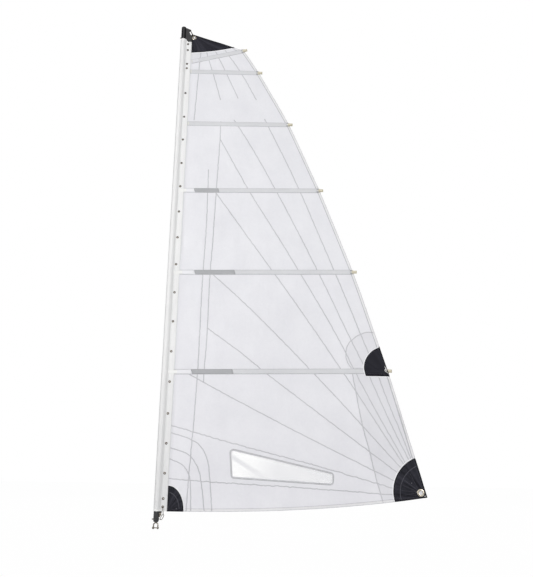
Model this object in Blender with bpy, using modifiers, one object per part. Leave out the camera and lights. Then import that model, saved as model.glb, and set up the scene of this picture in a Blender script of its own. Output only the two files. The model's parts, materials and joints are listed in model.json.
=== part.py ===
# Fully battened mainsail on its luff spar, with its rings, eyelets, links and foot shackle.
# Metres. +Z runs up the spar, +X runs aft along the foot, and the front of the sail faces -Y.
# The origin is the middle of the shackle pin under the spar.

import math

import bmesh
import bpy
from mathutils import Matrix, Vector

# Clearance between pieces that touch
GAP = 0.0003

# Sail outline, measured from the tack corner
TACK_HEIGHT = 0.150
LUFF_LENGTH = 5.250
FOOT_WIDTH = 2.503
CLEW_RISE = 0.160
FOOT_CURVE = 2.4
HEAD_RISE = 0.106
HEAD_WIDTH = 0.508
HEAD_DROP = 0.179
CLOTH_THICKNESS = 0.0008

# Battens from the top down: height at the luff, height at the leech, width of the sail there
BATTENS = (
    (4.976, 5.132, 0.621),
    (4.846, 4.835, 0.803),
    (4.169, 4.165, 1.156),
    (3.344, 3.358, 1.494),
    (2.400, 2.425, 1.840),
    (1.342, 1.377, 2.170),
)
TABBED_BATTENS = (4, 5, 6)
BATTEN_WIDTH = 0.034
BATTEN_THICKNESS = 0.005
BATTEN_CLEARANCE = 0.0006
POCKET_WIDTH = 0.054
POCKET_CHANNEL = 0.046
POCKET_WALL = 0.0012
POCKET_END_WALL = 0.006
POCKET_SHORT_OF_LEECH = 0.022
TAB_WIDTH = 0.036
TAB_START = 0.032
TAB_EYELET_CLEARANCE = 0.001
CAP_WIDTH = 0.044
CAP_DEPTH = 0.008
CAP_LENGTH = 0.052
CAP_OVERHANG = 0.038
CAP_WALL = 0.0015
CAP_EDGE = 0.0015

# Luff spar and the cloth sleeve around it
SPAR_RADIUS = 0.0275
SPAR_WALL = 0.002
SLEEVE_RADIUS = 0.030
SLEEVE_WALL = 0.0015
SLEEVE_HEM = 0.010
SPAR_ABOVE_STRIP = 0.030
PLUG_LENGTH = 0.120

# Luff strip
STRIP_WIDTH = 0.0677
STRIP_THICKNESS = 0.004
STRIP_LAP = 0.010

# Luff eyelets, as heights above the tack: the run up the luff, then the extra ones by the tack and the head
EYELET_X = 0.058
EYELET_RUN = (
    0.351, 0.634, 0.924, 1.241, 1.551, 1.866, 2.178, 2.488, 2.793, 3.092, 3.391, 3.673, 3.965, 4.254, 4.560,
)
EYELET_TACK_HEIGHTS = (0.040, 0.116)
EYELET_HEAD_HEIGHTS = (4.890, 4.948, 5.135, 5.216)
EYELET_HOLE = 0.006
EYELET_FLANGE = 0.0115

# Metal rings: hole, flange radius, and distance in from the corner of the sail
BARREL_WALL = 0.0012
EYELET_METAL = 0.0012
RING_METAL = 0.0035
HEAD_RING_HOLE = 0.0145
HEAD_RING_FLANGE = 0.0275
HEAD_RING_IN = (0.027, -0.050)
CLEW_RING_HOLE = 0.020
CLEW_RING_FLANGE = 0.036
CLEW_RING_IN = (-0.061, 0.042)
CORNER_HOLE = 0.004
CORNER_HOLE_IN = (-0.021, 0.012)

# Corner patches
PATCH_THICKNESS = 0.001
PATCH_MARGIN = 0.002
PATCH_TURN_IN = 0.006
HEAD_PATCH_TIP_IN = 0.010
HEAD_PATCH_LUFF = 0.254
HEAD_PATCH_BULGE = 0.012
TACK_PATCH_WIDTH = 0.158
TACK_PATCH_HEIGHT = 0.233
CLEW_PATCH_LEECH = 0.379
CLEW_PATCH_FOOT = 0.316
REEF_PATCH_LEECH = 0.309
REEF_PATCH_SIDE = 0.236
REEF_PATCH_FOOT = 0.052

# Clear window
WINDOW_CORNERS = ((0.584, 0.597), (0.606, 0.312), (1.600, 0.260), (1.607, 0.373))
WINDOW_LAP = 0.012
WINDOW_ROUND = 0.025
WINDOW_THICKNESS = 0.0008

# Spar foot, its cross pin, and the swivel shackle under it
FOOT_RADIUS = 0.027
FOOT_WAIST_RADIUS = 0.027
FOOT_END_RADIUS = 0.021
FOOT_TAPER = 0.048
FOOT_NOSE = 0.012
FOOT_BORE = 0.0095
FOOT_FLOOR = 0.0122
FOOT_PIN_RADIUS = 0.004
FOOT_PIN_ABOVE_NOSE = 0.026
FOOT_EYE_X = 0.038
FOOT_EYE_RADIUS = 0.009
FOOT_EYE_HOLE = 0.0055
FOOT_EYE_THICKNESS = 0.003
PIN_KNOB_RADIUS = 0.0065
PIN_KNOB_SHOULDER = 0.005
PIN_KNOB_LENGTH = 0.013
BOW_RADIUS = 0.021
BOW_WIRE = 0.006
BOW_LEG = 0.0255
LUG_RADIUS = 0.0115
LUG_THICKNESS = 0.012
SHACKLE_PIN_RADIUS = 0.0045
SHACKLE_PIN_HEAD = 0.009
SHACKLE_PIN_HEAD_LENGTH = 0.005
SHACKLE_PIN_END = 0.004
STEM_RADIUS = 0.005
STEM_HEAD_RADIUS = 0.0085
STEM_HEAD_LENGTH = 0.0055

# Spar cap and its lug
CAP_TOP_RADIUS = 0.028
CAP_TOP_HEIGHT = 0.167
CAP_TOP_ROUND = 0.011
LUG_PLATE = 0.012
LUG_CLEARANCE = 0.003
LUG_CORNER = 0.028
LUG_NECK = ((0.062, 0.012), (0.026, 0.0305))
LUG_EAR = ((0.018, 0.0310), (0.013, 0.0370), (0.013, 0.0440), (0.018, 0.0495))
LUG_SLOPE = ((0.033, 0.057), (0.020, 0.095), (0.0, 0.113))
LUG_REACH = 0.0005
LUG_HOLE = 0.0055
LUG_HOLE_IN = (-0.022, -0.040)
CAP_PIN_HEIGHT = 0.020
CAP_PIN_DEPTH = 0.045

# Closed steel links
HEAD_LINK_WIRE = 0.003
HEAD_LINK_WIDTH = 0.0245
TACK_SHACKLE_WIRE = 0.0022
TACK_SHACKLE_WIDTH = 0.0165
TACK_SHACKLE_LENGTH = 0.073
TACK_SHACKLE_LEAN = 0.008
TACK_LINK_WIRE = 0.0026
TACK_LINK_WIDTH = 0.0185

# Facets
TURN_STEPS = 32
EYELET_STEPS = 16
RING_STEPS = 24
ARC_STEPS = 12
LINK_BEND_STEPS = 8
CORNER_HOLE_STEPS = 8
WINDOW_ROUND_STEPS = 4
CAP_DOME_STEPS = 6
WIRE_RESOLUTION = 2
CAP_EDGE_SEGMENTS = 2
SMOOTH_ANGLE = math.radians(35)

# Finishes: colour, roughness, metallic
FINISHES = {
    "sailcloth": ((0.78, 0.77, 0.81), 0.55, 0.0),
    "pocket_cloth": ((0.68, 0.69, 0.71), 0.6, 0.0),
    "luff_tape": ((0.84, 0.85, 0.83), 0.6, 0.0),
    "black_cloth": ((0.024, 0.024, 0.033), 0.7, 0.0),
    "window_film": ((0.93, 0.94, 0.95), 0.12, 0.0),
    "black_plastic": ((0.013, 0.013, 0.014), 0.3, 0.0),
    "spar_tube": ((0.05, 0.05, 0.055), 0.35, 0.6),
    "cream_plastic": ((0.68, 0.64, 0.50), 0.45, 0.0),
    "batten": ((0.74, 0.74, 0.68), 0.4, 0.0),
    "steel": ((0.58, 0.55, 0.50), 0.25, 1.0),
}

# Places that follow from the sizes above
STRIP_FRONT_X = SLEEVE_RADIUS + GAP
STRIP_AFT_X = STRIP_FRONT_X + STRIP_WIDTH
STRIP_TOP = TACK_HEIGHT + LUFF_LENGTH
SLEEVE_BOTTOM = TACK_HEIGHT + SLEEVE_HEM
CLOTH_FRONT_X = STRIP_AFT_X - STRIP_LAP
CLOTH_FACE = CLOTH_THICKNESS / 2
PATCH_BACK = CLOTH_FACE + GAP
PATCH_FRONT = PATCH_BACK + PATCH_THICKNESS
POCKET_BACK = CLOTH_FACE + GAP
POCKET_INNER = CLOTH_FACE + BATTEN_THICKNESS + 2 * BATTEN_CLEARANCE
POCKET_FRONT = POCKET_INNER + POCKET_WALL
LUG_AFT_X = STRIP_AFT_X + LUG_REACH
HEAD_X = LUG_AFT_X + 2 * GAP
HEAD_CORNER = (HEAD_X, STRIP_TOP + HEAD_RISE)
HEAD_TIP = (HEAD_X + HEAD_WIDTH, HEAD_CORNER[1] - HEAD_DROP)
CLEW_CORNER = (STRIP_AFT_X + FOOT_WIDTH, TACK_HEIGHT + CLEW_RISE)
SPAR_TOP = STRIP_TOP + SPAR_ABOVE_STRIP
NOSE_HEIGHT = BOW_LEG + BOW_RADIUS + BOW_WIRE + GAP
FLOOR_HEIGHT = NOSE_HEIGHT + FOOT_FLOOR
FOOT_PIN_HEIGHT = NOSE_HEIGHT + FOOT_PIN_ABOVE_NOSE
SPAR_BOTTOM = SLEEVE_BOTTOM + SLEEVE_HEM

TO_FRONT = Matrix.Rotation(math.radians(90), 4, "X")
TO_SIDE = Matrix.Rotation(math.radians(90), 4, "Y")


def clear_scene():
    for obj in list(bpy.data.objects):
        bpy.data.objects.remove(obj, do_unlink=True)


def new_collection(name):
    collection = bpy.data.collections.new(name)
    bpy.context.scene.collection.children.link(collection)
    return collection


def finish_material(finish):
    material = bpy.data.materials.get(finish)
    if material is None:
        colour, roughness, metallic = FINISHES[finish]
        material = bpy.data.materials.new(finish)
        material.use_nodes = True
        shader = material.node_tree.nodes["Principled BSDF"]
        shader.inputs["Base Color"].default_value = (*colour, 1.0)
        shader.inputs["Roughness"].default_value = roughness
        shader.inputs["Metallic"].default_value = metallic
    return material


def add_object(name, data, place, finish):
    obj = bpy.data.objects.new(name, data)
    obj.matrix_world = place
    if finish is None:
        cutters.objects.link(obj)
        obj.hide_render = True
        obj.display_type = "WIRE"
    else:
        sail.objects.link(obj)
        data.materials.append(finish_material(finish))
    return obj


def smooth(obj):
    obj.data.shade_smooth()
    obj.data.set_sharp_from_angle(angle=SMOOTH_ANGLE)


def curve_to_mesh(obj, name, finish):
    bpy.context.view_layer.update()
    depsgraph = bpy.context.evaluated_depsgraph_get()
    mesh = bpy.data.meshes.new_from_object(obj.evaluated_get(depsgraph))
    shape = bmesh.new()
    shape.from_mesh(mesh)
    bmesh.ops.remove_doubles(shape, verts=shape.verts, dist=0.00001)
    bmesh.ops.recalc_face_normals(shape, faces=shape.faces)
    shape.to_mesh(mesh)
    shape.free()
    mesh.materials.clear()
    place = obj.matrix_world.copy()
    curve = obj.data
    bpy.data.objects.remove(obj, do_unlink=True)
    bpy.data.curves.remove(curve)
    return add_object(name, mesh, place, finish)


def flat_piece(name, outlines, front, back, finish):
    """A plate in the plane of the sail, from y = -front to y = -back. Later outlines are holes."""
    curve = bpy.data.curves.new(name, "CURVE")
    curve.dimensions = "2D"
    curve.fill_mode = "BOTH"
    curve.extrude = (front - back) / 2
    for outline in outlines:
        spline = curve.splines.new("POLY")
        spline.points.add(len(outline) - 1)
        spline.use_cyclic_u = True
        for point, (x, z) in zip(spline.points, outline):
            point.co = (x, z, 0.0, 1.0)
    place = Matrix.Translation((0, -(front + back) / 2, 0)) @ TO_FRONT
    obj = bpy.data.objects.new(name + "_curve", curve)
    obj.matrix_world = place
    cutters.objects.link(obj)
    return curve_to_mesh(obj, name, finish)


def turned_piece(name, profile, place, finish, steps=TURN_STEPS, ring=False):
    """A profile of (radius, height) points, outer side running down, turned about local Z."""
    mesh = bpy.data.meshes.new(name)
    shape = bmesh.new()
    points = [shape.verts.new((radius, 0, height)) for radius, height in profile]
    for first, second in zip(points, points[1:]):
        shape.edges.new((first, second))
    if ring:
        shape.edges.new((points[-1], points[0]))
    shape.to_mesh(mesh)
    shape.free()
    obj = add_object(name, mesh, place, finish)
    screw = obj.modifiers.new("Turn", "SCREW")
    screw.steps = steps
    screw.render_steps = steps
    screw.use_merge_vertices = True
    screw.merge_threshold = 0.00001
    return obj


def rod(name, radius, low, high, place, finish, steps=TURN_STEPS):
    profile = ((0, high), (radius, high), (radius, low), (0, low))
    return turned_piece(name, profile, place, finish, steps)


def box(name, low, high, place, finish):
    shape = bmesh.new()
    bmesh.ops.create_cube(shape, size=1.0)
    size = Vector(high) - Vector(low)
    bmesh.ops.scale(shape, vec=size, verts=shape.verts)
    bmesh.ops.translate(shape, vec=Vector(low) + size / 2, verts=shape.verts)
    mesh = bpy.data.meshes.new(name)
    shape.to_mesh(mesh)
    shape.free()
    return add_object(name, mesh, place, finish)


def combine(obj, other, operation):
    boolean = obj.modifiers.new(operation.title(), "BOOLEAN")
    boolean.operation = operation
    boolean.object = other
    return obj


def cut(obj, *others):
    for other in others:
        combine(obj, other, "DIFFERENCE")


def join(obj, *others):
    for other in others:
        combine(obj, other, "UNION")


def arc(centre, radius_at, start, end, steps=ARC_STEPS):
    """Points round a centre. radius_at gives the radius at each share of the way."""
    points = []
    for step in range(steps + 1):
        share = step / steps
        angle = start + (end - start) * share
        radius = radius_at(share)
        points.append((centre[0] + radius * math.cos(angle), centre[1] + radius * math.sin(angle)))
    return points


def circle(centre, radius, steps):
    start = math.pi / steps
    return arc(centre, lambda share: radius, start, start + math.tau * (1 - 1 / steps), steps - 1)


def offset_point(corner, distance):
    return (corner[0] + distance[0], corner[1] + distance[1])


def angle_between(start, end):
    return math.atan2(end[1] - start[1], end[0] - start[0])


def corner_rays(corners, index):
    """A corner, the directions to its neighbours, and half the angle between them."""
    here = Vector(corners[index])
    before = (Vector(corners[index - 1]) - here).normalized()
    after = (Vector(corners[(index + 1) % len(corners)]) - here).normalized()
    return here, before, after, before.angle(after) / 2


def inset(corners, distance):
    """The corners moved in, so that every side moves in by the distance."""
    moved = []
    for index in range(len(corners)):
        here, before, after, half = corner_rays(corners, index)
        moved.append(here + (before + after).normalized() * distance / math.sin(half))
    return moved


def rounded(corners, radius, steps):
    """The outline through the corners, each rounded with an arc."""
    points = []
    for index, centre in enumerate(inset(corners, radius)):
        here, before, after, half = corner_rays(corners, index)
        start = angle_between(centre, here + before * radius / math.tan(half))
        end = angle_between(centre, here + after * radius / math.tan(half))
        turn = (end - start + math.pi) % math.tau - math.pi
        points += arc(centre, lambda share: radius, start, start + turn, steps)
    return points


def leech_corners():
    return [CLEW_CORNER] + [batten_leech(number) for number in range(len(BATTENS), 0, -1)]


def leech_point(height):
    """The point of the leech at a height, on the straight run between two of its corners."""
    corners = leech_corners()
    runs = [run for run in zip(corners, corners[1:]) if run[0][1] <= height]
    low, high = runs[-1]
    share = (height - low[1]) / (high[1] - low[1])
    return (low[0] + (high[0] - low[0]) * share, height)


def batten_leech(number):
    _, leech_height, width = BATTENS[number - 1]
    return (STRIP_AFT_X + width, TACK_HEIGHT + leech_height)


def batten_luff(number):
    return (STRIP_AFT_X, TACK_HEIGHT + BATTENS[number - 1][0])


def batten_frame(number):
    """Local X runs along the batten from the luff, local Z across it, local -Y to the front."""
    luff = batten_luff(number)
    leech = batten_leech(number)
    slope = angle_between(luff, leech)
    place = Matrix.Translation((luff[0], 0, luff[1])) @ Matrix.Rotation(-slope, 4, "Y")
    return place, math.dist(luff, leech)


def pocket_start(number):
    """How far along the batten its pocket starts, so that a slanted pocket clears the strip."""
    slope = angle_between(batten_luff(number), batten_leech(number))
    return 2 * GAP + POCKET_WIDTH / 2 * abs(math.tan(slope))


def foot_height(x):
    share = max(0.0, (x - STRIP_AFT_X) / FOOT_WIDTH)
    return TACK_HEIGHT + CLEW_RISE * share ** FOOT_CURVE


def ring_stack(hole):
    return hole + BARREL_WALL + GAP


def cloth_outline():
    foot = []
    for step in range(ARC_STEPS):
        x = CLOTH_FRONT_X + (CLEW_CORNER[0] - CLOTH_FRONT_X) * step / ARC_STEPS
        foot.append((x, foot_height(x)))
    head = [HEAD_TIP, HEAD_CORNER, (HEAD_X, STRIP_TOP), (CLOTH_FRONT_X, STRIP_TOP)]
    return foot + leech_corners() + head


def head_ring_centre():
    return offset_point(HEAD_CORNER, HEAD_RING_IN)


def clew_ring_centre():
    return offset_point(CLEW_CORNER, CLEW_RING_IN)


def reef_corner():
    return leech_point(batten_leech(len(BATTENS))[1] - REEF_PATCH_FOOT)


def corner_hole():
    return circle(offset_point(CLEW_CORNER, CORNER_HOLE_IN), CORNER_HOLE, CORNER_HOLE_STEPS)


def window_corners():
    return [offset_point((STRIP_AFT_X, TACK_HEIGHT), corner) for corner in WINDOW_CORNERS]


def make_cloth():
    holes = [
        circle(head_ring_centre(), ring_stack(HEAD_RING_HOLE), RING_STEPS),
        circle(clew_ring_centre(), ring_stack(CLEW_RING_HOLE), RING_STEPS),
        corner_hole(),
        rounded(inset(window_corners(), WINDOW_LAP), WINDOW_ROUND, WINDOW_ROUND_STEPS),
    ]
    flat_piece("sail_cloth", [cloth_outline()] + holes, CLOTH_FACE, -CLOTH_FACE, "sailcloth")
    back = CLOTH_FACE + GAP
    outline = rounded(window_corners(), WINDOW_ROUND, WINDOW_ROUND_STEPS)
    flat_piece("window_film", [outline], back + WINDOW_THICKNESS, back, "window_film")


def make_head_patch():
    luff_x = HEAD_X + PATCH_MARGIN
    corner = (luff_x, HEAD_CORNER[1] - 2 * PATCH_MARGIN)
    tip = (HEAD_TIP[0] - HEAD_PATCH_TIP_IN, HEAD_TIP[1] - PATCH_MARGIN)
    low = (luff_x, HEAD_CORNER[1] - HEAD_PATCH_LUFF)
    lower_edge = []
    for step in range(1, ARC_STEPS):
        share = step / ARC_STEPS
        sag = HEAD_PATCH_BULGE * math.sin(math.pi * share)
        lower_edge.append((tip[0] + (low[0] - tip[0]) * share, tip[1] + (low[1] - tip[1]) * share - sag))
    outline = [corner, tip] + lower_edge + [low]
    hole = circle(head_ring_centre(), ring_stack(HEAD_RING_HOLE), RING_STEPS)
    flat_piece("head_patch", [outline, hole], PATCH_FRONT, PATCH_BACK, "black_cloth")


def make_tack_patch():
    corner = (STRIP_AFT_X + PATCH_MARGIN, TACK_HEIGHT + PATCH_MARGIN)
    outline = [corner]
    for step in range(ARC_STEPS + 1):
        angle = math.pi / 2 * step / ARC_STEPS
        along = TACK_PATCH_WIDTH * math.cos(angle)
        outline.append((corner[0] + along, corner[1] + TACK_PATCH_HEIGHT * math.sin(angle)))
    flat_piece("tack_patch", [outline], PATCH_FRONT, PATCH_BACK, "black_cloth")


def make_clew_patch():
    corner = offset_point(CLEW_CORNER, (-PATCH_MARGIN, PATCH_MARGIN / 2))
    leech_angle = angle_between(CLEW_CORNER, batten_leech(len(BATTENS))) + PATCH_TURN_IN
    foot_x = CLEW_CORNER[0] - CLEW_PATCH_FOOT
    foot_angle = angle_between(CLEW_CORNER, (foot_x, foot_height(foot_x))) % math.tau - PATCH_TURN_IN

    def radius(share):
        return CLEW_PATCH_LEECH + (CLEW_PATCH_FOOT - CLEW_PATCH_LEECH) * share

    outline = [corner] + arc(corner, radius, leech_angle, foot_angle)
    holes = [circle(clew_ring_centre(), ring_stack(CLEW_RING_HOLE), RING_STEPS), corner_hole()]
    flat_piece("clew_patch", [outline] + holes, PATCH_FRONT, PATCH_BACK, "black_cloth")


def make_reef_patch():
    """The patch is thick where it bridges the lowest batten pocket, and thin beside it."""
    corner = offset_point(reef_corner(), (-PATCH_MARGIN, 0))
    top = leech_point(corner[1] + REEF_PATCH_LEECH)
    leech_angle = angle_between(corner, offset_point(top, (-PATCH_MARGIN, 0))) + PATCH_TURN_IN

    def radius(share):
        return REEF_PATCH_LEECH + (REEF_PATCH_SIDE - REEF_PATCH_LEECH) * share**2

    outline = [corner] + arc(corner, radius, leech_angle, math.pi)
    bridge_inner = POCKET_FRONT + GAP
    bridge_outer = bridge_inner + PATCH_THICKNESS
    patch = flat_piece("reef_patch", [outline], bridge_outer, PATCH_BACK, "black_cloth")
    place, length = batten_frame(len(BATTENS))
    tunnel_side = POCKET_WIDTH / 2 + GAP
    bridge_side = tunnel_side + PATCH_THICKNESS
    reach = REEF_PATCH_LEECH + POCKET_WIDTH
    start = length - reach
    end = length + POCKET_WIDTH
    outside = -2 * bridge_outer
    spans = {
        "tunnel": ((start, -bridge_inner, -tunnel_side), (end, 0, tunnel_side)),
        "above": ((start, outside, bridge_side), (end, -PATCH_FRONT, reach)),
        "below": ((start, outside, -reach), (end, -PATCH_FRONT, -bridge_side)),
    }
    for side, (low, high) in spans.items():
        cut(patch, box(f"cut_reef_{side}", low, high, place, None))


def make_ring(name, centre, hole, flange, metal, stack_front, stack_back, steps):
    front = stack_front + GAP
    back = stack_back - GAP
    barrel = hole + BARREL_WALL
    rim = flange - metal / 2
    profile = (
        (hole, front + metal),
        (rim, front + metal),
        (flange, front),
        (barrel, front),
        (barrel, back),
        (flange, back),
        (rim, back - metal),
        (hole, back - metal),
    )
    place = Matrix.Translation((centre[0], 0, centre[1])) @ TO_FRONT
    turned_piece(name, profile, place, "steel", steps, ring=True)


def make_rings():
    stack = (PATCH_FRONT, -CLOTH_FACE, RING_STEPS)
    make_ring("head_ring", head_ring_centre(), HEAD_RING_HOLE, HEAD_RING_FLANGE, RING_METAL, *stack)
    make_ring("clew_ring", clew_ring_centre(), CLEW_RING_HOLE, CLEW_RING_FLANGE, RING_METAL, *stack)


def eyelet_heights():
    return [TACK_HEIGHT + height for height in EYELET_TACK_HEIGHTS + EYELET_RUN + EYELET_HEAD_HEIGHTS]


def eyelet_posts(name, heights, radius, length):
    """One cutter with a post through the middle of each eyelet."""
    shape = bmesh.new()
    for height in heights:
        place = Matrix.Translation((EYELET_X, 0, height)) @ TO_FRONT
        bmesh.ops.create_cone(
            shape,
            cap_ends=True,
            segments=EYELET_STEPS,
            radius1=radius,
            radius2=radius,
            depth=length,
            matrix=place,
        )
    mesh = bpy.data.meshes.new(name)
    shape.to_mesh(mesh)
    shape.free()
    return add_object(name, mesh, Matrix.Identity(4), None)


def make_luff_strip():
    """A flat tape with the eyelet holes, and a slot up its aft edge for the cloth."""
    half = STRIP_THICKNESS / 2
    low = SLEEVE_BOTTOM
    high = STRIP_TOP - GAP
    outline = [(STRIP_FRONT_X, low), (STRIP_AFT_X, low), (STRIP_AFT_X, high), (STRIP_FRONT_X, high)]
    holes = [circle((EYELET_X, height), ring_stack(EYELET_HOLE), EYELET_STEPS) for height in eyelet_heights()]
    strip = flat_piece("luff_strip", [outline] + holes, half, -half, "luff_tape")
    slot_side = CLOTH_FACE + GAP
    slot_low = (CLOTH_FRONT_X - GAP, -slot_side, low - SLEEVE_HEM)
    slot_high = (STRIP_AFT_X + STRIP_LAP, slot_side, high + SLEEVE_HEM)
    cut(strip, box("cut_luff_slot", slot_low, slot_high, Matrix.Identity(4), None))


def make_eyelets():
    flange = (EYELET_HOLE, EYELET_FLANGE, EYELET_METAL)
    half = STRIP_THICKNESS / 2
    for number, height in enumerate(eyelet_heights(), start=1):
        make_ring(f"eyelet_{number:02d}", (EYELET_X, height), *flange, half, -half, EYELET_STEPS)


def make_tab(number, start, place):
    """The strap from a pocket across the strip, with a hole round any eyelet that it meets."""
    low = (TAB_START - STRIP_AFT_X, -POCKET_FRONT, -TAB_WIDTH / 2)
    high = (start + POCKET_END_WALL / 2, -STRIP_THICKNESS / 2 - GAP, TAB_WIDTH / 2)
    tab = box(f"tab_{number}", low, high, place, None)
    hole = EYELET_FLANGE + TAB_EYELET_CLEARANCE
    middle = (place @ Vector((EYELET_X - STRIP_AFT_X, 0, 0))).z
    met = [height for height in eyelet_heights() if abs(height - middle) < hole + TAB_WIDTH / 2]
    if met:
        cut(tab, eyelet_posts(f"cut_tab_{number}", met, hole, 4 * POCKET_FRONT))
    return tab


def make_pocket(number):
    place, length = batten_frame(number)
    start = pocket_start(number)
    end = length - POCKET_SHORT_OF_LEECH
    half = POCKET_WIDTH / 2
    name = f"batten_pocket_{number}"
    pocket = box(name, (start, -POCKET_FRONT, -half), (end, -POCKET_BACK, half), place, "pocket_cloth")
    channel_low = (start + POCKET_END_WALL, -POCKET_INNER, -POCKET_CHANNEL / 2)
    channel_high = (end + POCKET_WIDTH, 0, POCKET_CHANNEL / 2)
    cut(pocket, box(f"cut_channel_{number}", channel_low, channel_high, place, None))
    if number in TABBED_BATTENS:
        join(pocket, make_tab(number, start, place))


def make_batten(number):
    place, length = batten_frame(number)
    start = pocket_start(number) + POCKET_END_WALL + BATTEN_CLEARANCE
    cap_start = length + CAP_OVERHANG - CAP_LENGTH
    batten_end = cap_start + CAP_LENGTH - CAP_WALL - GAP
    back = CLOTH_FACE + BATTEN_CLEARANCE
    front = back + BATTEN_THICKNESS
    half = BATTEN_WIDTH / 2
    box(f"batten_{number}", (start, -front, -half), (batten_end, -back, half), place, "batten")
    middle = (front + back) / 2
    cap_back = CLOTH_FACE + GAP
    cap_front = middle + CAP_DEPTH / 2
    cap_low = (cap_start, -cap_front, -CAP_WIDTH / 2)
    cap_high = (cap_start + CAP_LENGTH, -cap_back, CAP_WIDTH / 2)
    cap = box(f"batten_cap_{number}", cap_low, cap_high, place, "cream_plastic")
    bevel = cap.modifiers.new("Edges", "BEVEL")
    bevel.width = CAP_EDGE
    bevel.segments = CAP_EDGE_SEGMENTS
    socket_low = (cap_start - CAP_LENGTH, -front - GAP, -half - GAP)
    socket_high = (batten_end + GAP, 0, half + GAP)
    cut(cap, box(f"cut_cap_{number}", socket_low, socket_high, place, None))


def make_spar():
    inner = SPAR_RADIUS - SPAR_WALL
    tube = (
        (inner, SPAR_TOP - GAP),
        (SPAR_RADIUS, SPAR_TOP - GAP),
        (SPAR_RADIUS, SPAR_BOTTOM + GAP),
        (inner, SPAR_BOTTOM + GAP),
    )
    turned_piece("luff_spar", tube, Matrix.Identity(4), "spar_tube", ring=True)
    sleeve_inner = SLEEVE_RADIUS - SLEEVE_WALL
    sleeve_top = SPAR_TOP - 2 * GAP
    sleeve = (
        (sleeve_inner, sleeve_top),
        (SLEEVE_RADIUS, sleeve_top),
        (SLEEVE_RADIUS, SLEEVE_BOTTOM),
        (sleeve_inner, SLEEVE_BOTTOM),
    )
    turned_piece("luff_sleeve", sleeve, Matrix.Identity(4), "luff_tape", ring=True)


def make_spar_cap():
    """A plug with a domed top, and a flat lug that reaches aft to the head of the sail."""
    plug = SPAR_RADIUS - SPAR_WALL - GAP
    top = SPAR_TOP + CAP_TOP_HEIGHT
    profile = [(0, top)]
    for step in range(1, CAP_DOME_STEPS + 1):
        angle = math.pi / 2 * step / CAP_DOME_STEPS
        radius = CAP_TOP_RADIUS - CAP_TOP_ROUND * (1 - math.sin(angle))
        profile.append((radius, top - CAP_TOP_ROUND * (1 - math.cos(angle))))
    profile += [
        (CAP_TOP_RADIUS, SPAR_TOP),
        (plug, SPAR_TOP),
        (plug, SPAR_TOP - PLUG_LENGTH),
        (0, SPAR_TOP - PLUG_LENGTH),
    ]
    cap = turned_piece("spar_cap", profile, Matrix.Identity(4), "black_plastic")
    lug_low = STRIP_TOP + GAP
    corner = SLEEVE_RADIUS + LUG_CLEARANCE
    edge = LUG_NECK + LUG_EAR + LUG_SLOPE
    outline = [
        (0, SPAR_TOP + GAP),
        (corner, SPAR_TOP + GAP),
        (corner + LUG_CORNER, lug_low),
        (LUG_AFT_X, lug_low),
    ]
    outline += [(LUG_AFT_X - back, top - down) for back, down in reversed(edge)]
    outline += [(0, top - CAP_TOP_ROUND)]
    hole = circle(cap_hole_centre(), LUG_HOLE, EYELET_STEPS)
    lug = flat_piece("spar_cap_lug", [outline, hole], LUG_PLATE / 2, -LUG_PLATE / 2, None)
    join(cap, lug)
    pin_place = Matrix.Translation((0, 0, SPAR_TOP + CAP_PIN_HEIGHT)) @ TO_SIDE
    depth = CAP_PIN_DEPTH - CAP_TOP_RADIUS
    hole_radius = FOOT_PIN_RADIUS + GAP
    drill = rod("cut_cap_pin", hole_radius, -2 * CAP_TOP_RADIUS, depth + GAP, pin_place, None, RING_STEPS)
    cut(cap, drill)
    knob = knob_profile(-CAP_TOP_RADIUS - GAP)
    profile = [(0, depth), (FOOT_PIN_RADIUS, depth)] + knob
    turned_piece("cap_pin", profile, pin_place, "steel", RING_STEPS)


def cap_hole_centre():
    return (LUG_AFT_X + LUG_HOLE_IN[0], SPAR_TOP + CAP_TOP_HEIGHT + LUG_HOLE_IN[1])


def knob_profile(face):
    """The lower end of a pin: a rounded knob below the given height."""
    middle = face - PIN_KNOB_LENGTH / 2
    return [
        (FOOT_PIN_RADIUS, face),
        (PIN_KNOB_SHOULDER, face),
        (PIN_KNOB_RADIUS, middle),
        (PIN_KNOB_SHOULDER, face - PIN_KNOB_LENGTH),
        (0, face - PIN_KNOB_LENGTH),
    ]


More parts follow.
